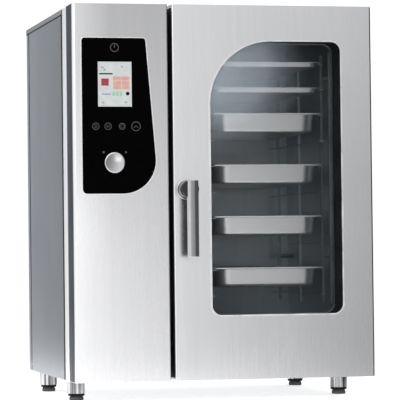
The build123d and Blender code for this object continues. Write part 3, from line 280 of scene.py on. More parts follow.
def circuit(name):
    shader = Shader(name, (0.03, 0.17, 0.08), 0.0, 0.4)
    pads = shader.nodes.new("ShaderNodeTexVoronoi")
    pads.inputs["Scale"].default_value = 220.0
    shader.links.new(shader.coordinates, pads.inputs["Vector"])
    solder, lacquer = (0.3, 0.28, 0.18), (0.02, 0.14, 0.06)
    shader.use("Base Color", shader.tint(pads.outputs["Distance"], solder, lacquer, 0.1, 0.2))
    return shader.material


# middle and half-widths of the painted reflection on the window
PAINTED_GLARE_CENTRE = (-0.075, -0.395, 0.925)
PAINTED_GLARE_REACH = (0.33, 1.0, 0.27)

LOOKS = {
    "column_steel": brushed(
        "column_steel", (0.80, 0.80, 0.805), 0.28, "z", 0.035, 0.05, 0.04,
        # painted light and shade: lighter at the left, darker towards the top right
        painted_light_and_shade=(("X", -0.425, -0.32), ("Z", 0.06, 1.097), (1.20, 1.12, 1.16, 0.80)),
    ),
    "door_steel": brushed(
        "door_steel", (0.80, 0.80, 0.805), 0.24, "z", 0.035, 0.05, 0.04,
        # painted light and shade: lighter at the left, darker at the lower right
        painted_light_and_shade=(("X", -0.146, 0.425), ("Z", 0.06, 1.097), (1.18, 0.76, 1.22, 1.10)),
    ),
    "side_steel": brushed(
        "side_steel", (0.64, 0.66, 0.68), 0.36, "z", 0.05, 0.05, 0.05,
        # painted shade: darker towards the front
        painted_light_and_shade=(("Y", -0.228, 0.398), ("Z", 0.06, 1.083), (0.67, 0.96, 0.70, 0.96)),
    ),
    "roof_steel": brushed("roof_steel", (0.56, 0.57, 0.58), 0.36, "x", 0.05, 0.05, 0.05),
    "frame_steel": brushed("frame_steel", (0.92, 0.915, 0.92), 0.34, "z", 0.03, 0.05, 0.03, metal=0.3),
    "inner_sheet": brushed("inner_sheet", (0.60, 0.61, 0.62), 0.42, "x", 0.08, 0.08, 0.06),
    "cavity_steel": brushed(
        "cavity_steel", (0.36, 0.385, 0.40), 0.40, "z", 0.12, 0.08, 0.05,
        # painted light: lighter towards the right
        painted_light_and_shade=(("X", 0.08, 0.32), ("Z", 0.2, 1.0), (1.0, 1.6, 0.9, 1.7)),
    ),
    "baffle_steel": brushed("baffle_steel", (0.42, 0.45, 0.465), 0.38, "y", 0.12, 0.08, 0.05),
    "rack_steel": brushed("rack_steel", (0.40, 0.42, 0.43), 0.34, "y", 0.1, 0.06, 0.04),
    "pan_steel": brushed("pan_steel", (0.93, 0.935, 0.94), 0.38, "x", 0.05, 0.05, 0.03),
    "tray_sheet": brushed("tray_sheet", (0.92, 0.925, 0.93), 0.4, "x", 0.06, 0.06, 0.05),
    "shaft_steel": brushed("shaft_steel", (0.58, 0.59, 0.6), 0.3, "y", 0.06, 0.05, 0.03),
    "fan_steel": brushed("fan_steel", (0.36, 0.35, 0.34), 0.4, "z", 0.15, 0.08, 0.05),
    "knob_face": brushed("knob_face", (0.34, 0.35, 0.36), 0.34, "x", 0.12, 0.05, 0.08),
    "knob_rim": polished("knob_rim", (0.6, 0.6, 0.61), 0.16),
    "chrome": polished("chrome", (0.58, 0.58, 0.59), 0.09),
    "dark_chrome": polished("dark_chrome", (0.06, 0.06, 0.063), 0.14),
    "trim": polished("trim", (0.96, 0.96, 0.96), 0.3),
    "foot_chrome": reflection_banded("foot_chrome", (0.06, 0.06, 0.065), (0.62, 0.62, 0.63)),
    "brass": polished("brass", (0.68, 0.5, 0.22), 0.25),
    "panel_glass": gloss_black("panel_glass"),
    "window_glass": window_glass("window_glass", (0.03, 0.036, 0.04), 0.07, 0.41),
    "inner_glass": window_glass("inner_glass", (0.05, 0.06, 0.065), 0.04),
    "glazing_black": moulded("glazing_black", (0.004, 0.0045, 0.005), 0.5, 500.0, 0.05, 0.1),
    "seal_black": moulded("seal_black", (0.008, 0.008, 0.009), 0.6, 420.0, 0.15, 0.12),
    "foot_grey": moulded("foot_grey", (0.07, 0.068, 0.066), 0.55, 420.0, 0.15, 0.3),
    "black_plastic": moulded("black_plastic", (0.010, 0.010, 0.011), 0.45, 420.0, 0.15, 0.2),
    "grey_plastic": moulded("grey_plastic", (0.26, 0.27, 0.28), 0.5),
    "motor_paint": moulded("motor_paint", (0.13, 0.15, 0.18), 0.42, 260.0, 0.2),
    "mark_grey": moulded("mark_grey", (0.085, 0.08, 0.08), 0.4, 500.0, 0.02, 0.2),
    "mark_light": moulded("mark_light", (0.62, 0.5, 0.5), 0.4, 500.0, 0.02),
    "column_side": moulded("column_side", (0.045, 0.052, 0.06), 0.45, 300.0, 0.08, 0.08),
    "spacer": moulded("spacer", (0.07, 0.075, 0.08), 0.5, 300.0, 0.05, 0.2),
    "wool": wool("wool"),
    "heated": heated("heated"),
    "circuit": circuit("circuit"),
    "screen": glowing("screen", (0.66, 0.685, 0.68), 0.82),
    "screen_black": glowing("screen_black", (0.02, 0.022, 0.025), 0.4),
    "screen_red": glowing("screen_red", (0.42, 0.06, 0.09), 0.8),
    "screen_salmon": glowing("screen_salmon", (0.72, 0.40, 0.32), 0.85),
    "screen_green": glowing("screen_green", (0.36, 0.62, 0.42), 0.85),
    "screen_blue": glowing("screen_blue", (0.22, 0.26, 0.62), 0.85),
    "screen_grey": glowing("screen_grey", (0.42, 0.45, 0.46), 0.7),
}

# which CAD nodes wear each look
CAD_LOOKS = {
    "column_steel": ("fascia",),
    "door_steel": ("door_skin",),
    "side_steel": ("side_panel_left", "side_panel_right"),
    "roof_steel": ("roof_panel",),
    "frame_steel": ("front_frame",),
    "inner_sheet": ("rear_panel", "base_pan", "steam_generator", "steam_pipe", "drain_pipe", "roof_vents"),
    "cavity_steel": ("cavity_liner", "door_inner_panel"),
    "baffle_steel": ("fan_baffle",),
    "rack_steel": ("rack_left", "rack_right", "drain_grate", "drip_tray"),
    "pan_steel": ("pan_1", "pan_2", "pan_3", "pan_4"),
    "tray_sheet": ("tray_1", "tray_2"),
    "shaft_steel": ("fan_shaft", "handle_spindle", "hinge_lugs", "hinge_pins", "latch_keeper", "knob_stem"),
    "fan_steel": ("fan_wheel",),
    "knob_face": ("control_knob",),
    "chrome": ("handle_lever", "handle_rosette"),
    "trim": ("window_trim", "control_bezel"),
    "foot_chrome": ("foot_sleeves",),
    "brass": ("water_inlets", "hinge_bushes"),
    "panel_glass": ("control_glass",),
    "screen": ("touch_display",),
    "mark_grey": ("panel_marks",),
    "window_glass": ("outer_glass",),
    "inner_glass": ("inner_glass",),
    "glazing_black": ("glazing_frame",),
    "seal_black": ("body_seal", "door_gasket"),
    "foot_grey": (
        "foot_pad_front_left",
        "foot_pad_front_right",
        "foot_pad_rear_left",
        "foot_pad_rear_right",
    ),
    "black_plastic": ("encoder_housing", "cable_gland"),
    "grey_plastic": ("encoder_plunger", "contactor_tray"),
    "motor_paint": ("fan_motor",),
    "wool": ("insulation",),
    "heated": ("heating_coil",),
    "circuit": ("control_board",),
}


def dress_cad():
    for look, names in CAD_LOOKS.items():
        for name in names:
            mesh = NODES[name].data
            mesh.materials.clear()
            mesh.materials.append(LOOKS[look])


dress_cad()


def soften(name, width):
    """A small bevel on a CAD node's sharp edges, so that they catch the light."""
    modifier = NODES[name].modifiers.new("soft_edges", "BEVEL")
    modifier.width = width
    modifier.segments = 2
    modifier.limit_method = "ANGLE"
    modifier.angle_limit = math.radians(40)


soften("window_trim", 0.0011)
soften("control_bezel", 0.0008)

# ---------------------------------------------------------------- mesh helpers


def make_object(name, bm, material, body, angle=35.0):
    """Turn a bmesh into a piece that rides on a body."""
    bmesh.ops.recalc_face_normals(bm, faces=bm.faces)
    mesh = bpy.data.meshes.new(name)
    bm.to_mesh(mesh)
    bm.free()
    mesh.materials.append(LOOKS[material])
    piece = bpy.data.objects.new(name, mesh)
    bpy.context.scene.collection.objects.link(piece)
    mesh.shade_smooth()
    mesh.set_sharp_from_angle(angle=math.radians(angle))
    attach(piece, body)
    return piece


def loft(bm, loops):
    """Skin a list of equal closed loops and close both ends."""
    rings = [[bm.verts.new(point) for point in loop] for loop in loops]
    for lower, upper in zip(rings, rings[1:]):
        count = len(lower)
        for i in range(count):
            j = (i + 1) % count
            bm.faces.new((lower[i], lower[j], upper[j], upper[i]))
    bm.faces.new(reversed(rings[0]))
    bm.faces.new(rings[-1])


def lathe(bm, profile, origin, axis, segments=48, wave=None):
    """Turn a profile of (radius, distance along the axis) round the axis at origin."""
    axis = Vector(axis).normalized()
    side = axis.orthogonal().normalized()
    third = axis.cross(side)
    loops = []
    for radius, along in profile:
        loop = []
        for i in range(segments):
            turn = 2 * math.pi * i / segments
            r = radius if wave is None else wave(radius, along, turn)
            outward = math.cos(turn) * side + math.sin(turn) * third
            loop.append(Vector(origin) + axis * along + r * outward)
        loops.append(loop)
    loft(bm, loops)


def rounded_loop(cx, cy, width, length, radius, z):
    """A rounded rectangle in plan at height z."""
    points = []
    steps = 8
    for sx, sy, start in ((1, 1, 0), (-1, 1, 90), (-1, -1, 180), (1, -1, 270)):
        ox = cx + sx * (width / 2 - radius)
        oy = cy + sy * (length / 2 - radius)
        for i in range(steps + 1):
            turn = math.radians(start + 90 * i / steps)
            points.append(Vector((ox + radius * math.cos(turn), oy + radius * math.sin(turn), z)))
    return points


def bevelled_box(bm, low, high, radius, segments=2):
    """A box with its edges rounded."""
    low, high = Vector(low), Vector(high)
    size = high - low
    made = bmesh.ops.create_cube(bm, size=1.0)
    bmesh.ops.scale(bm, vec=size, verts=made["verts"])
    bmesh.ops.translate(bm, vec=(low + high) / 2, verts=made["verts"])
    edges = list({edge for vert in made["verts"] for edge in vert.link_edges})
    bmesh.ops.bevel(bm, geom=edges, offset=radius, segments=segments, affect="EDGES", profile=0.5)


# ---------------------------------------------------------------- pans and trays


def container(name, material, slot, corner, foot_radius, draft, roll):
    """A pressed pan: rolled rim, drafted walls and a rounded floor, in thin sheet."""
    low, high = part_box(name)
    mid = (low + high) / 2
    width, length = high.x - low.x, high.y - low.y
    rim, rim_corner, sheet = 0.011, 0.014, 0.0012
    body_w, body_l = width - 2 * rim, length - 2 * rim
    top, bottom = high.z, low.z

    def at(inset, z, radius):
        return rounded_loop(mid.x, mid.y, body_w - 2 * inset, body_l - 2 * inset, radius, z)

    def rim_at(inset, z):
        return rounded_loop(mid.x, mid.y, width - 2 * inset, length - 2 * inset, rim_corner, z)

    loops = []
    steps, rim_steps = 6, 8
    floor_in = draft + foot_radius
    # under side, from the floor outwards and up to the rim
    for i in range(steps + 1):
        turn = math.radians(90 * i / steps)
        inset = floor_in - foot_radius * math.sin(turn)
        loops.append(at(inset, bottom + foot_radius * (1 - math.cos(turn)), corner - inset * 0.5))
    loops.append(at(0.0006, top - roll - 0.003, corner))
    loops.append(at(0.0, top - roll + 0.001, corner))
    # rim: flat, then a roll at its edge
    for i in range(rim_steps + 1):
        turn = math.radians(-90 + 180 * i / rim_steps)
        loops.append(rim_at(roll / 2 * (1 - math.cos(turn)), top - roll / 2 * (1 - math.sin(turn))))
    # inside, down to the floor
    loops.append(at(-0.0022, top, corner + 0.002))
    loops.append(at(0.0, top - 0.0008, corner))
    loops.append(at(sheet, top - 0.004, corner - sheet))
    inner_foot = foot_radius - sheet
    for i in range(steps, -1, -1):
        turn = math.radians(90 * i / steps)
        inset = floor_in + sheet * 0.3 - inner_foot * math.sin(turn)
        loops.append(at(inset, bottom + sheet + inner_foot * (1 - math.cos(turn)), corner - inset * 0.5))
    bm = bmesh.new()
    loft(bm, loops)
    piece = make_object(name + "_pressed", bm, material, name, 50)
    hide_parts(name)


PAN_PRESS = {"corner": 0.044, "foot_radius": 0.011, "draft": 0.004, "roll": 0.005}
TRAY_PRESS = {"corner": 0.02, "foot_radius": 0.005, "draft": 0.002, "roll": 0.003}

for number in range(1, 5):
    container(f"pan_{number}", "pan_steel", "pan_steel", **PAN_PRESS)
for number in range(1, 3):
    container(f"tray_{number}", "tray_sheet", "tray_aluminium", **TRAY_PRESS)

# ---------------------------------------------------------------- knob


def knob():
    """Ribbed turned knob with a dished face."""
    low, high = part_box("control_knob")
    mid = (low + high) / 2
    radius = (high.x - low.x) / 2
    front = (mid.x, low.y, mid.z)
    height = high.y - low.y
    ribs, rib_depth = 60, 0.0007

    def ribbed(r, along, turn):
        on_side = 0.0045 < along < height - 0.001
        return r - (rib_depth / 2 * (1 + math.cos(ribs * turn)) if on_side else 0.0)

    bm = bmesh.new()
    profile = [
        (0.0005, height),
        (radius - 0.0025, height),
        (radius - 0.0005, height - 0.0015),
        (radius, height - 0.004),
        (radius, 0.005),
        (radius - 0.0004, 0.0022),
        (radius - 0.0016, 0.0008),
        (radius - 0.0030, 0.0002),
        (radius - 0.0042, 0.0006),
    ]
    lathe(bm, profile, front, (0, 1, 0), 240, ribbed)
    body = make_object("knob_body", bm, "knob_rim", "knob", 30)
    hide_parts("control_knob")
    bm = bmesh.new()
    dish = [
        (radius - 0.0040, 0.0009),
        (radius - 0.0060, 0.0014),
        (radius * 0.5, 0.0021),
        (0.0004, 0.0024),
        (0.0004, 0.006),
        (radius - 0.0040, 0.006),
    ]
    lathe(bm, dish, front, (0, 1, 0), 96)
    make_object("knob_dish", bm, "knob_face", "knob", 40)


knob()

# ---------------------------------------------------------------- handle


def handle():
    """Round boss with a bevelled front plate that runs down as the grip."""
    low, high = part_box("handle_lever")
    boss_x, boss_z, boss_r = -0.109, 0.586, 0.025
    plate_t = 0.016
    left, right = boss_x - 0.010, boss_x + 0.020
    front, back = low.y, low.y + plate_t
    bm = bmesh.new()
    neck = high.y - back
    boss = [
        (0.0005, -0.001),
        (boss_r - 0.0035, -0.001),
        (boss_r - 0.0030, 0.0),
        (boss_r - 0.0008, 0.0020),
        (boss_r, 0.0036),
        (boss_r, neck - 0.0020),
        (boss_r - 0.0008, neck - 0.0006),
        (boss_r - 0.002, neck),
        (0.0005, neck),
    ]
    lathe(bm, boss, (boss_x, back, boss_z), (0, 1, 0), 96)
    piece = make_object("handle_boss", bm, "dark_chrome", "handle", 30)
    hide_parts("handle_lever")

    def section(z, grow, lift=0.0):
        """Front plate: narrow left bevel, flat face, then a wide falling facet."""
        x0, x1 = left + grow, right - grow
        y0, y1 = front + lift, back - lift
        ridge = left + 0.0185
        return [
            Vector((x0, y1 - 0.0012, z)),
            Vector((x0, y0 + 0.0066, z)),
            Vector((x0 + 0.0004, y0 + 0.0057, z)),
            Vector((x0 + 0.0056, y0 + 0.0005, z)),
            Vector((x0 + 0.0066, y0, z)),
            Vector((ridge - 0.0008, y0, z)),
            Vector((ridge + 0.0008, y0 + 0.0003, z)),
            Vector((x1 - 0.0006, y0 + 0.0044, z)),
            Vector((x1, y0 + 0.0054, z)),
            Vector((x1, y1 - 0.0012, z)),
            Vector((x1 - 0.0012, y1, z)),
            Vector((x0 + 0.0012, y1, z)),
        ]

    bm = bmesh.new()
    foot, top = low.z, high.z
    stations = (
        (foot, 0.0022, 0.0022),
        (foot + 0.0007, 0.0009, 0.0009),
        (foot + 0.0022, 0.0, 0.0),
        (foot + 0.07, 0.0, 0.0),
        (foot + 0.14, 0.0, 0.0),
        (top - 0.0022, 0.0, 0.0),
        (top - 0.0007, 0.0009, 0.0009),
        (top, 0.0022, 0.0022),
    )
    loft(bm, [section(*station) for station in stations])
    make_object("handle_grip", bm, "chrome", "handle", 20)
    bm = bmesh.new()
    backing_low = (left + 0.0015, back - 0.001, foot + 0.004)
    backing_high = (right - 0.0015, back + 0.0012, top - 0.004)
    bevelled_box(bm, backing_low, backing_high, 0.0008, 2)
    make_object("handle_backing", bm, "black_plastic", "handle", 30)


handle()

# ---------------------------------------------------------------- feet


def foot(place):
    """Pad with its black ring and threaded stem, all on one body."""
    name = f"foot_pad_{place}"
    body = f"foot_{place}"
    low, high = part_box(name)
    mid = (low + high) / 2
    ring_r = (high.x - low.x) / 2
    base = (mid.x, mid.y, low.z)
    stem_top = high.z - low.z
    pad_r, pad_top, collar_top = 0.0200, 0.0137, 0.0195
    bore, crest, root, pitch = 0.0085, 0.0079, 0.0068, 0.002
    bm = bmesh.new()
    pad = [
        (0.0005, 0.0),
        (pad_r - 0.0025, 0.0),
        (pad_r - 0.0008, 0.0008),
        (pad_r, 0.0028),
        (pad_r, 0.0080),
        (pad_r - 0.0010, 0.0100),
        (pad_r - 0.0030, 0.0128),
        (pad_r - 0.0030, pad_top),
        (0.0005, pad_top),
    ]
    lathe(bm, pad, base, (0, 0, 1), 48)
    piece = make_object(f"foot_tread_{place}", bm, "foot_grey", body, 30)
    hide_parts(name)
    bm = bmesh.new()
    collar = [
        (bore, pad_top - 0.0005),
        (ring_r - 0.0015, pad_top - 0.0005),
        (ring_r - 0.0002, pad_top + 0.0005),
        (ring_r, 0.0160),
        (ring_r - 0.0003, collar_top - 0.0010),
        (ring_r - 0.0015, collar_top),
        (bore, collar_top),
    ]
    lathe(bm, collar, base, (0, 0, 1), 48)
    make_object(f"foot_collar_{place}", bm, "seal_black", body, 30)
    bm = bmesh.new()
    stem = [(0.0005, pad_top)]
    along = collar_top
    while along < stem_top - pitch:
        stem.append((crest, along))
        stem.append((root, along + pitch / 2))
        along += pitch
    stem.append((root - 0.0006, stem_top))
    stem.append((0.0005, stem_top))
    lathe(bm, stem, base, (0, 0, 1), 32)
    make_object(f"foot_stem_{place}", bm, "shaft_steel", body, 30)


for foot_place in ("front_left", "front_right", "rear_left", "rear_right"):
    foot(foot_place)

# ---------------------------------------------------------------- display picture


def screen():
    """Generic coloured blocks of an oven's start screen, with no writing."""
    low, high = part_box("touch_display")
    width, height = high.x - low.x, high.z - low.z
    face = low.y
    proud, sunk, edge = 0.00025, 0.0002, 0.0002

    def tile(name, material, x0, z0, x1, z1):
        """A block between shares of the display's width and height, from its top left."""
        bm = bmesh.new()
        tile_low = (low.x + x0 * width, face - proud, high.z - z1 * height)
        tile_high = (low.x + x1 * width, face + sunk, high.z - z0 * height)
        bevelled_box(bm, tile_low, tile_high, edge, 1)
        make_object(name, bm, material, "cabinet")

    tile("screen_title_bar", "screen_black", 0.04, 0.255, 0.44, 0.285)
    tile("screen_mode_tile", "screen_red", 0.10, 0.375, 0.32, 0.535)
    for row in range(3):
        for column in range(2):
            x0 = 0.45 + column * 0.25
            z0 = 0.33 + row * 0.098
            tile(f"screen_value_{row}_{column}", "screen_salmon", x0, z0, x0 + 0.235, z0 + 0.088)
    tile("screen_time_line", "screen_blue", 0.12, 0.71, 0.38, 0.735)
    for column in range(3):
        x0 = 0.43 + column * 0.105
        tile(f"screen_step_{column}", "screen_green", x0, 0.665, x0 + 0.08, 0.765)
    corners = ((0.14, 0.13), (0.2, 0.18), (0.72, 0.11), (0.15, 0.91), (0.82, 0.905))
    for index, (x, z) in enumerate(corners):
        tile(f"screen_corner_{index}", "screen_grey", x - 0.035, z - 0.018, x + 0.035, z + 0.018)
    bm = bmesh.new()
    origin = (low.x + 0.88 * width, face + 0.0002, high.z - 0.71 * height)
    key_r, key_t = 0.0052, 0.00045
    disc = [(0.0002, 0.0), (key_r, 0.0), (key_r, key_t), (0.0002, key_t)]
    lathe(bm, disc, origin, (0, -1, 0), 32)
    make_object("screen_round_key", bm, "screen_black", "cabinet")


screen()


def touch_icons():
    """Simple signs inside the printed rings: bars, a ladder, a sun and an arrow head."""
    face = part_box("panel_marks")[1].y
    bars_x, ladder_x, sun_x, arrow_x = -0.362, -0.328, -0.2885, -0.250
    line, sun_r = 0.0014, 0.0045
    thick = 0.00028
    glass_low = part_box("control_glass")[0]
    row_z = glass_low.z + 0.1845
    lines = bmesh.new()

    def bar(x, z, width, height, turn=0.0):
        made = bmesh.ops.create_cube(lines, size=1.0)
        bmesh.ops.scale(lines, vec=(width, thick, height), verts=made["verts"])
        bmesh.ops.rotate(lines, cent=(0, 0, 0), matrix=Matrix.Rotation(turn, 3, "Y"), verts=made["verts"])
        bmesh.ops.translate(lines, vec=(x, face - thick / 2, z), verts=made["verts"])

    for step in (-1, 0, 1):
        bar(bars_x, row_z + step * 0.0042, 0.009, line)
    bar(ladder_x - 0.003, row_z, line, 0.009)
    bar(ladder_x + 0.003, row_z, line, 0.009)
    bar(ladder_x, row_z, 0.006, line)
    for spoke in range(8):
        turn = math.radians(45 * spoke)
        bar(sun_x + sun_r * math.cos(turn), row_z + sun_r * math.sin(turn), 0.003, 0.0012, -turn)
    bar(arrow_x - 0.003, row_z - 0.001, 0.0085, line, math.radians(-45))
    bar(arrow_x + 0.003, row_z - 0.001, 0.0085, line, math.radians(45))
    make_object("touch_signs", lines, "mark_grey", "cabinet")
    lights = bmesh.new()
    dot_r, dot_z = 0.0021, 0.689
    dot = [(0.0002, 0.0), (dot_r - 0.0002, 0.0), (dot_r, 0.0001), (dot_r, thick), (0.0002, thick)]
    for x in (-0.341, -0.279):
        lathe(lights, dot, (x, face - thick, dot_z), (0, 1, 0), 24)
    make_object("touch_lights", lights, "mark_light", "cabinet")


touch_icons()

# ---------------------------------------------------------------- screws


def screw(name, position, axis, radius=0.004):
    """Pan-head screw with a hex socket."""
    bm = bmesh.new()
    profile = [
        (radius * 1.02, 0.0),
        (radius, radius * 0.25),
        (radius * 0.82, radius * 0.46),
        (radius * 0.5, radius * 0.54),
        (radius * 0.46, radius * 0.5),
        (radius * 0.42, radius * 0.12),
        (radius * 0.02, radius * 0.12),
    ]
    lathe(bm, profile, position, axis, 24)
    make_object(name, bm, "shaft_steel", "cabinet", 35)


def rear_details():
    """Screws down both sides of the rear panel and along its top."""
    low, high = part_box("rear_panel")
    side_inset, top_inset = 0.014, 0.012
    side_gap, top_gap = 0.03, 0.2
    side_count, top_count = 6, 3
    for side, x in (("left", low.x + side_inset), ("right", high.x - side_inset)):
        for i in range(side_count):
            z = low.z + side_gap + (high.z - low.z - 2 * side_gap) * i / (side_count - 1)
            screw(f"rear_screw_{side}_{i}", (x, high.y, z), (0, 1, 0))
    for i in range(top_count):
        x = low.x + top_gap + (high.x - low.x - 2 * top_gap) * i / (top_count - 1)
        screw(f"rear_screw_top_{i}", (x, high.y, high.z - top_inset), (0, 1, 0))


rear_details()


def side_details():
    """Three screws near the foot of each side panel, their heads slightly sunk in it."""
    end_gap, above_foot, sunk = 0.05, 0.02, 0.0006
    for side, sign in (("left", -1), ("right", 1)):
        low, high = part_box(f"side_panel_{side}")
        x = (low.x if sign < 0 else high.x) - sign * sunk
        for i, y in enumerate((low.y + end_gap, (low.y + high.y) / 2, high.y - end_gap)):
            screw(f"side_screw_{side}_{i}", (x, y, low.z + above_foot), (sign, 0, 0), 0.0035)


side_details()

# ---------------------------------------------------------------- strips


def strip(name, material, x, y, z, body="cabinet", edge=0.0002):
    """A straight strip between two limits on each axis."""
    bm = bmesh.new()
    bevelled_box(bm, *zip(x, y, z), edge, 2)
    make_object(name, bm, material, body)


def column_strip():
    """Dark strip on the column's outer side."""
    low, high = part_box("fascia")
    x = (low.x + 0.00004, low.x + 0.0009)
    y = (low.y + 0.0122, high.y - 0.0102)
    z = (low.z + 0.001, high.z - 0.0005)
    strip("column_side_strip", "column_side", x, y, z)


column_strip()


def across(side, outer, inner):
    """Limits in x on one side of the oven, from two distances to its middle."""
    return sorted((side * outer, side * inner))


def seam_strips():
    """Dark strips in the rear seam and in the seam under the roof's lip, on both sides."""
    panel_low, panel_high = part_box("side_panel_right")
    roof_low, roof_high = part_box("roof_panel")
    for side, name in ((-1, "left"), (1, "right")):
        x = across(side, panel_high.x - 0.0001, panel_high.x - 0.0009)
        y = (panel_high.y - 0.0483, panel_high.y - 0.0347)
        z = (panel_low.z + 0.004, panel_high.z - 0.0135)
        strip(f"rear_seam_{name}", "seal_black", x, y, z)
        x = across(side, roof_high.x - 0.0004, roof_high.x - 0.002)
        y = (roof_low.y + 0.0005, roof_high.y - 0.001)
        z = (roof_low.z - 0.0028, roof_low.z + 0.0002)
        strip(f"lip_seam_{name}", "seal_black", x, y, z)


seam_strips()


def frame_beads():
    """Dark bead behind the front frame, on both sides."""
    panel_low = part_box("side_panel_right")[0]
    roof_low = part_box("roof_panel")[0]
    frame_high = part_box("front_frame")[1]
    for side, name in ((-1, "left"), (1, "right")):
        x = across(side, frame_high.x - 0.00015, frame_high.x - 0.002)
        y = (frame_high.y + 0.0004, panel_low.y + 0.008)
        z = (panel_low.z + 0.0015, roof_low.z - 0.0015)
        strip(f"frame_bead_{name}", "seal_black", x, y, z)


frame_beads()


def door_strips():
    """Painted shade as a dark strip at the door's right edge, gasket at its left edge."""
    low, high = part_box("door_skin")
    # painted shade: a dark strip on the front at the door's right edge
    x = (high.x - 0.0036, high.x - 0.00015)
    y = (low.y - 0.0003, low.y + 0.0015)
    z = (low.z + 0.0025, high.z - 0.0025)
    strip("door_edge_shade", "dark_chrome", x, y, z, "door")
    x = (low.x - 0.0004, low.x + 0.0003)
    y = (low.y + 0.010, low.y + 0.058)
    z = (low.z + 0.008, high.z - 0.008)
    strip("door_edge_gasket", "seal_black", x, y, z, "door")


door_strips()


def light_bar():
    """Dark grey light bar behind the window, at its right."""
    low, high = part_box("glazing_frame")
    x = (high.x - 0.0168, high.x - 0.0055)
    y = (high.y - 0.004, high.y - 0.0002)
    z = (low.z + 0.0285, high.z - 0.0265)
    strip("light_bar", "spacer", x, y, z, "door", 0.0008)


light_bar()

# ---------------------------------------------------------------- water inlets


def inlet_threads():
    """Threads on the two water inlets."""
    low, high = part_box("water_inlets")
    radius, half_flange, pitch = 0.0132, 0.019, 0.0018
    length, run_out = 0.0145, 0.002
    for index, x in enumerate((low.x + half_flange, high.x - half_flange)):
        z = (low.z + high.z) / 2
        start = high.y - length
        bm = bmesh.new()
        profile = [(radius - 0.002, 0.0)]
        along = 0.0005
        while along < length - run_out:
            profile.append((radius + 0.0002, along))
            profile.append((radius - 0.0012, along + pitch / 2))
            along += pitch
        profile.append((radius - 0.0008, 0.0138))
        profile.append((0.0095, 0.0142))
        profile.append((0.0085, 0.012))
        profile.append((0.0082, 0.0))
        lathe(bm, profile, (x, start, z), (0, 1, 0), 40)
        make_object(f"inlet_thread_{index}", bm, "brass", "cabinet", 25)


inlet_threads()

# ---------------------------------------------------------------- studio

# colour of the studio surround by compass angle in degrees: 0 is behind the oven, 90 its right
SURROUND = (
    (-180, 0.92, 0.92, 0.925),
    (-150, 0.88, 0.88, 0.89),
    (-105, 0.98, 0.98, 0.99),
    (-62, 0.90, 0.905, 0.92),
    (-38, 0.36, 0.37, 0.39),
    (0, 0.235, 0.25, 0.28),
    (7, 1.05, 1.05, 1.05),
    (36, 1.05, 1.05, 1.05),
    (60, 0.28, 0.285, 0.30),
    (90, 0.10, 0.105, 0.11),
    (138, 0.12, 0.125, 0.13),
    (160, 0.44, 0.445, 0.455),
    (180, 0.92, 0.92, 0.925),
)
# light added to it straight above
ZENITH = 1.0
FLOOR_GLOW = 0.5
FLOOR_CENTRE = (-0.5, 0.25, 0.0)
# the floor fades out between these distances from its middle
FLOOR_FADE = (0.8, 1.98)
FLOOR_END = 2.0
FLOOR_SIDES = 64


def stage():
    """A round pale table, lightly lit from within, that fades into the surround."""
    bm = bmesh.new()
    rings = []
    for radius in (0.5, 1.0, 1.5, FLOOR_END):
        ring = []
        for i in range(FLOOR_SIDES):
            turn = 2 * math.pi * i / FLOOR_SIDES
            ring.append(bm.verts.new((radius * math.cos(turn), radius * math.sin(turn), 0.0)))
        rings.append(ring)
    bm.faces.new(rings[0])
    for inner, outer in zip(rings, rings[1:]):
        for i in range(FLOOR_SIDES):
            j = (i + 1) % FLOOR_SIDES
            bm.faces.new((inner[i], outer[i], outer[j], inner[j]))
    mesh = bpy.data.meshes.new("studio_floor")
    bm.to_mesh(mesh)
    bm.free()
    shader = Shader("studio_paper", (0.93, 0.93, 0.935), 0.0, 0.9)
    clouds = shader.noise(shader.coordinates, 0.7, 2.0)
    shader.use("Base Color", shader.tint(clouds, (0.90, 0.90, 0.905), (0.94, 0.94, 0.945)))
    shader.bsdf.inputs["Emission Color"].default_value = (1.0, 1.0, 1.0, 1.0)
    shader.bsdf.inputs["Emission Strength"].default_value = FLOOR_GLOW
    shader.bsdf.inputs["Specular IOR Level"].default_value = 0.1
    reach = shader.nodes.new("ShaderNodeVectorMath")
    reach.operation = "LENGTH"
    shader.links.new(shader.coordinates, reach.inputs[0])
    shader.use("Alpha", shader.spread(reach.outputs["Value"], 1.0, 0.0, *FLOOR_FADE))
    mesh.materials.append(shader.material)
    floor = bpy.data.objects.new("studio_floor", mesh)
    floor.location = FLOOR_CENTRE
    bpy.context.scene.collection.objects.link(floor)


def area_light(name, location, target, size, power):
    data = bpy.data.lights.new(name, "AREA")
    data.shape = "RECTANGLE"
    data.size, data.size_y = size
    data.energy = power
    light = bpy.data.objects.new(name, data)
    light.location = location
    direction = Vector(target) - Vector(location)
    light.rotation_euler = direction.to_track_quat("-Z", "Y").to_euler()
    light.visible_camera = False
    bpy.context.scene.collection.objects.link(light)


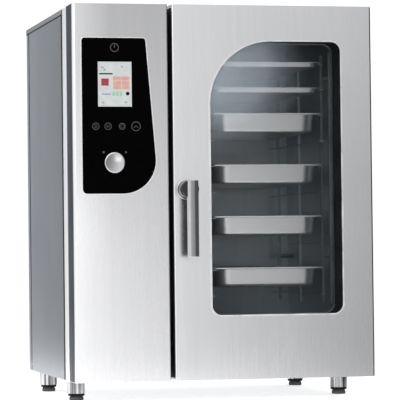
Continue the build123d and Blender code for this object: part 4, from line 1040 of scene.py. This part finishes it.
def world():
    """Soft studio surround with the colours of SURROUND, brighter towards the top."""
    scene_world = bpy.data.worlds.new("studio")
    scene_world.use_nodes = True
    bpy.context.scene.world = scene_world
    nodes = scene_world.node_tree.nodes
    links = scene_world.node_tree.links
    background = nodes["Background"]
    coordinates = nodes.new("ShaderNodeTexCoord")
    split = nodes.new("ShaderNodeSeparateXYZ")
    links.new(coordinates.outputs["Generated"], split.inputs["Vector"])

    def calc(operation, first, second):
        node = nodes.new("ShaderNodeMath")
        node.operation = operation
        for socket, value in zip(node.inputs, (first, second)):
            if isinstance(value, (int, float)):
                socket.default_value = value
            else:
                links.new(value, socket)
        return node.outputs["Value"]

    turn = calc("ARCTAN2", split.outputs["X"], split.outputs["Y"])
    place = calc("ADD", calc("DIVIDE", turn, 2 * math.pi), 0.5)
    ramp = nodes.new("ShaderNodeValToRGB")
    elements = ramp.color_ramp.elements
    while len(elements) < len(SURROUND):
        elements.new(0.5)
    for element, (angle, *color) in zip(elements, SURROUND):
        element.position = angle / 360 + 0.5
        element.color = (*color, 1)
    links.new(place, ramp.inputs["Fac"])
    height = calc("MAXIMUM", split.outputs["Z"], 0.0)
    above = calc("MULTIPLY", calc("POWER", height, 1.5), ZENITH)
    total = nodes.new("ShaderNodeMix")
    total.data_type = "RGBA"
    total.blend_type = "ADD"
    total.inputs["Factor"].default_value = 1.0
    links.new(ramp.outputs["Color"], total.inputs["A"])
    links.new(above, total.inputs["B"])
    links.new(total.outputs["Result"], background.inputs["Color"])
    background.inputs["Strength"].default_value = 1.0


world()
stage()
area_light("key", (-1.9, -3.6, 2.2), target=(0.0, -0.3, 0.5), size=(1.6, 1.6), power=12)
area_light("low_left", (-0.1, -3.4, 0.35), target=(-0.2, -0.4, 0.3), size=(0.6, 0.6), power=1.2)

# ---------------------------------------------------------------- camera

CAMERA_PLACE = Vector((-1.556, -6.732, 0.416))
CAMERA_YAW = math.radians(13.19)
CAMERA_PITCH = math.radians(1.24)
CAMERA_ROLL = math.radians(-0.66)
CAMERA_LENS = 212.3


def camera():
    data = bpy.data.cameras.new("photo_camera")
    data.lens = CAMERA_LENS
    data.sensor_width = 36.0
    data.clip_end = 60.0
    view = bpy.data.objects.new("photo_camera", data)
    forward = Vector(
        (
            math.sin(CAMERA_YAW) * math.cos(CAMERA_PITCH),
            math.cos(CAMERA_YAW) * math.cos(CAMERA_PITCH),
            math.sin(CAMERA_PITCH),
        )
    )
    level_right = Vector((math.cos(CAMERA_YAW), -math.sin(CAMERA_YAW), 0))
    level_up = level_right.cross(forward)
    right = math.cos(CAMERA_ROLL) * level_right + math.sin(CAMERA_ROLL) * level_up
    up = -math.sin(CAMERA_ROLL) * level_right + math.cos(CAMERA_ROLL) * level_up
    turn = Matrix((right, up, -forward)).transposed()
    view.matrix_world = Matrix.Translation(CAMERA_PLACE) @ turn.to_4x4()
    bpy.context.scene.collection.objects.link(view)
    bpy.context.scene.camera = view


camera()
bpy.context.scene.view_settings.view_transform = "Standard"
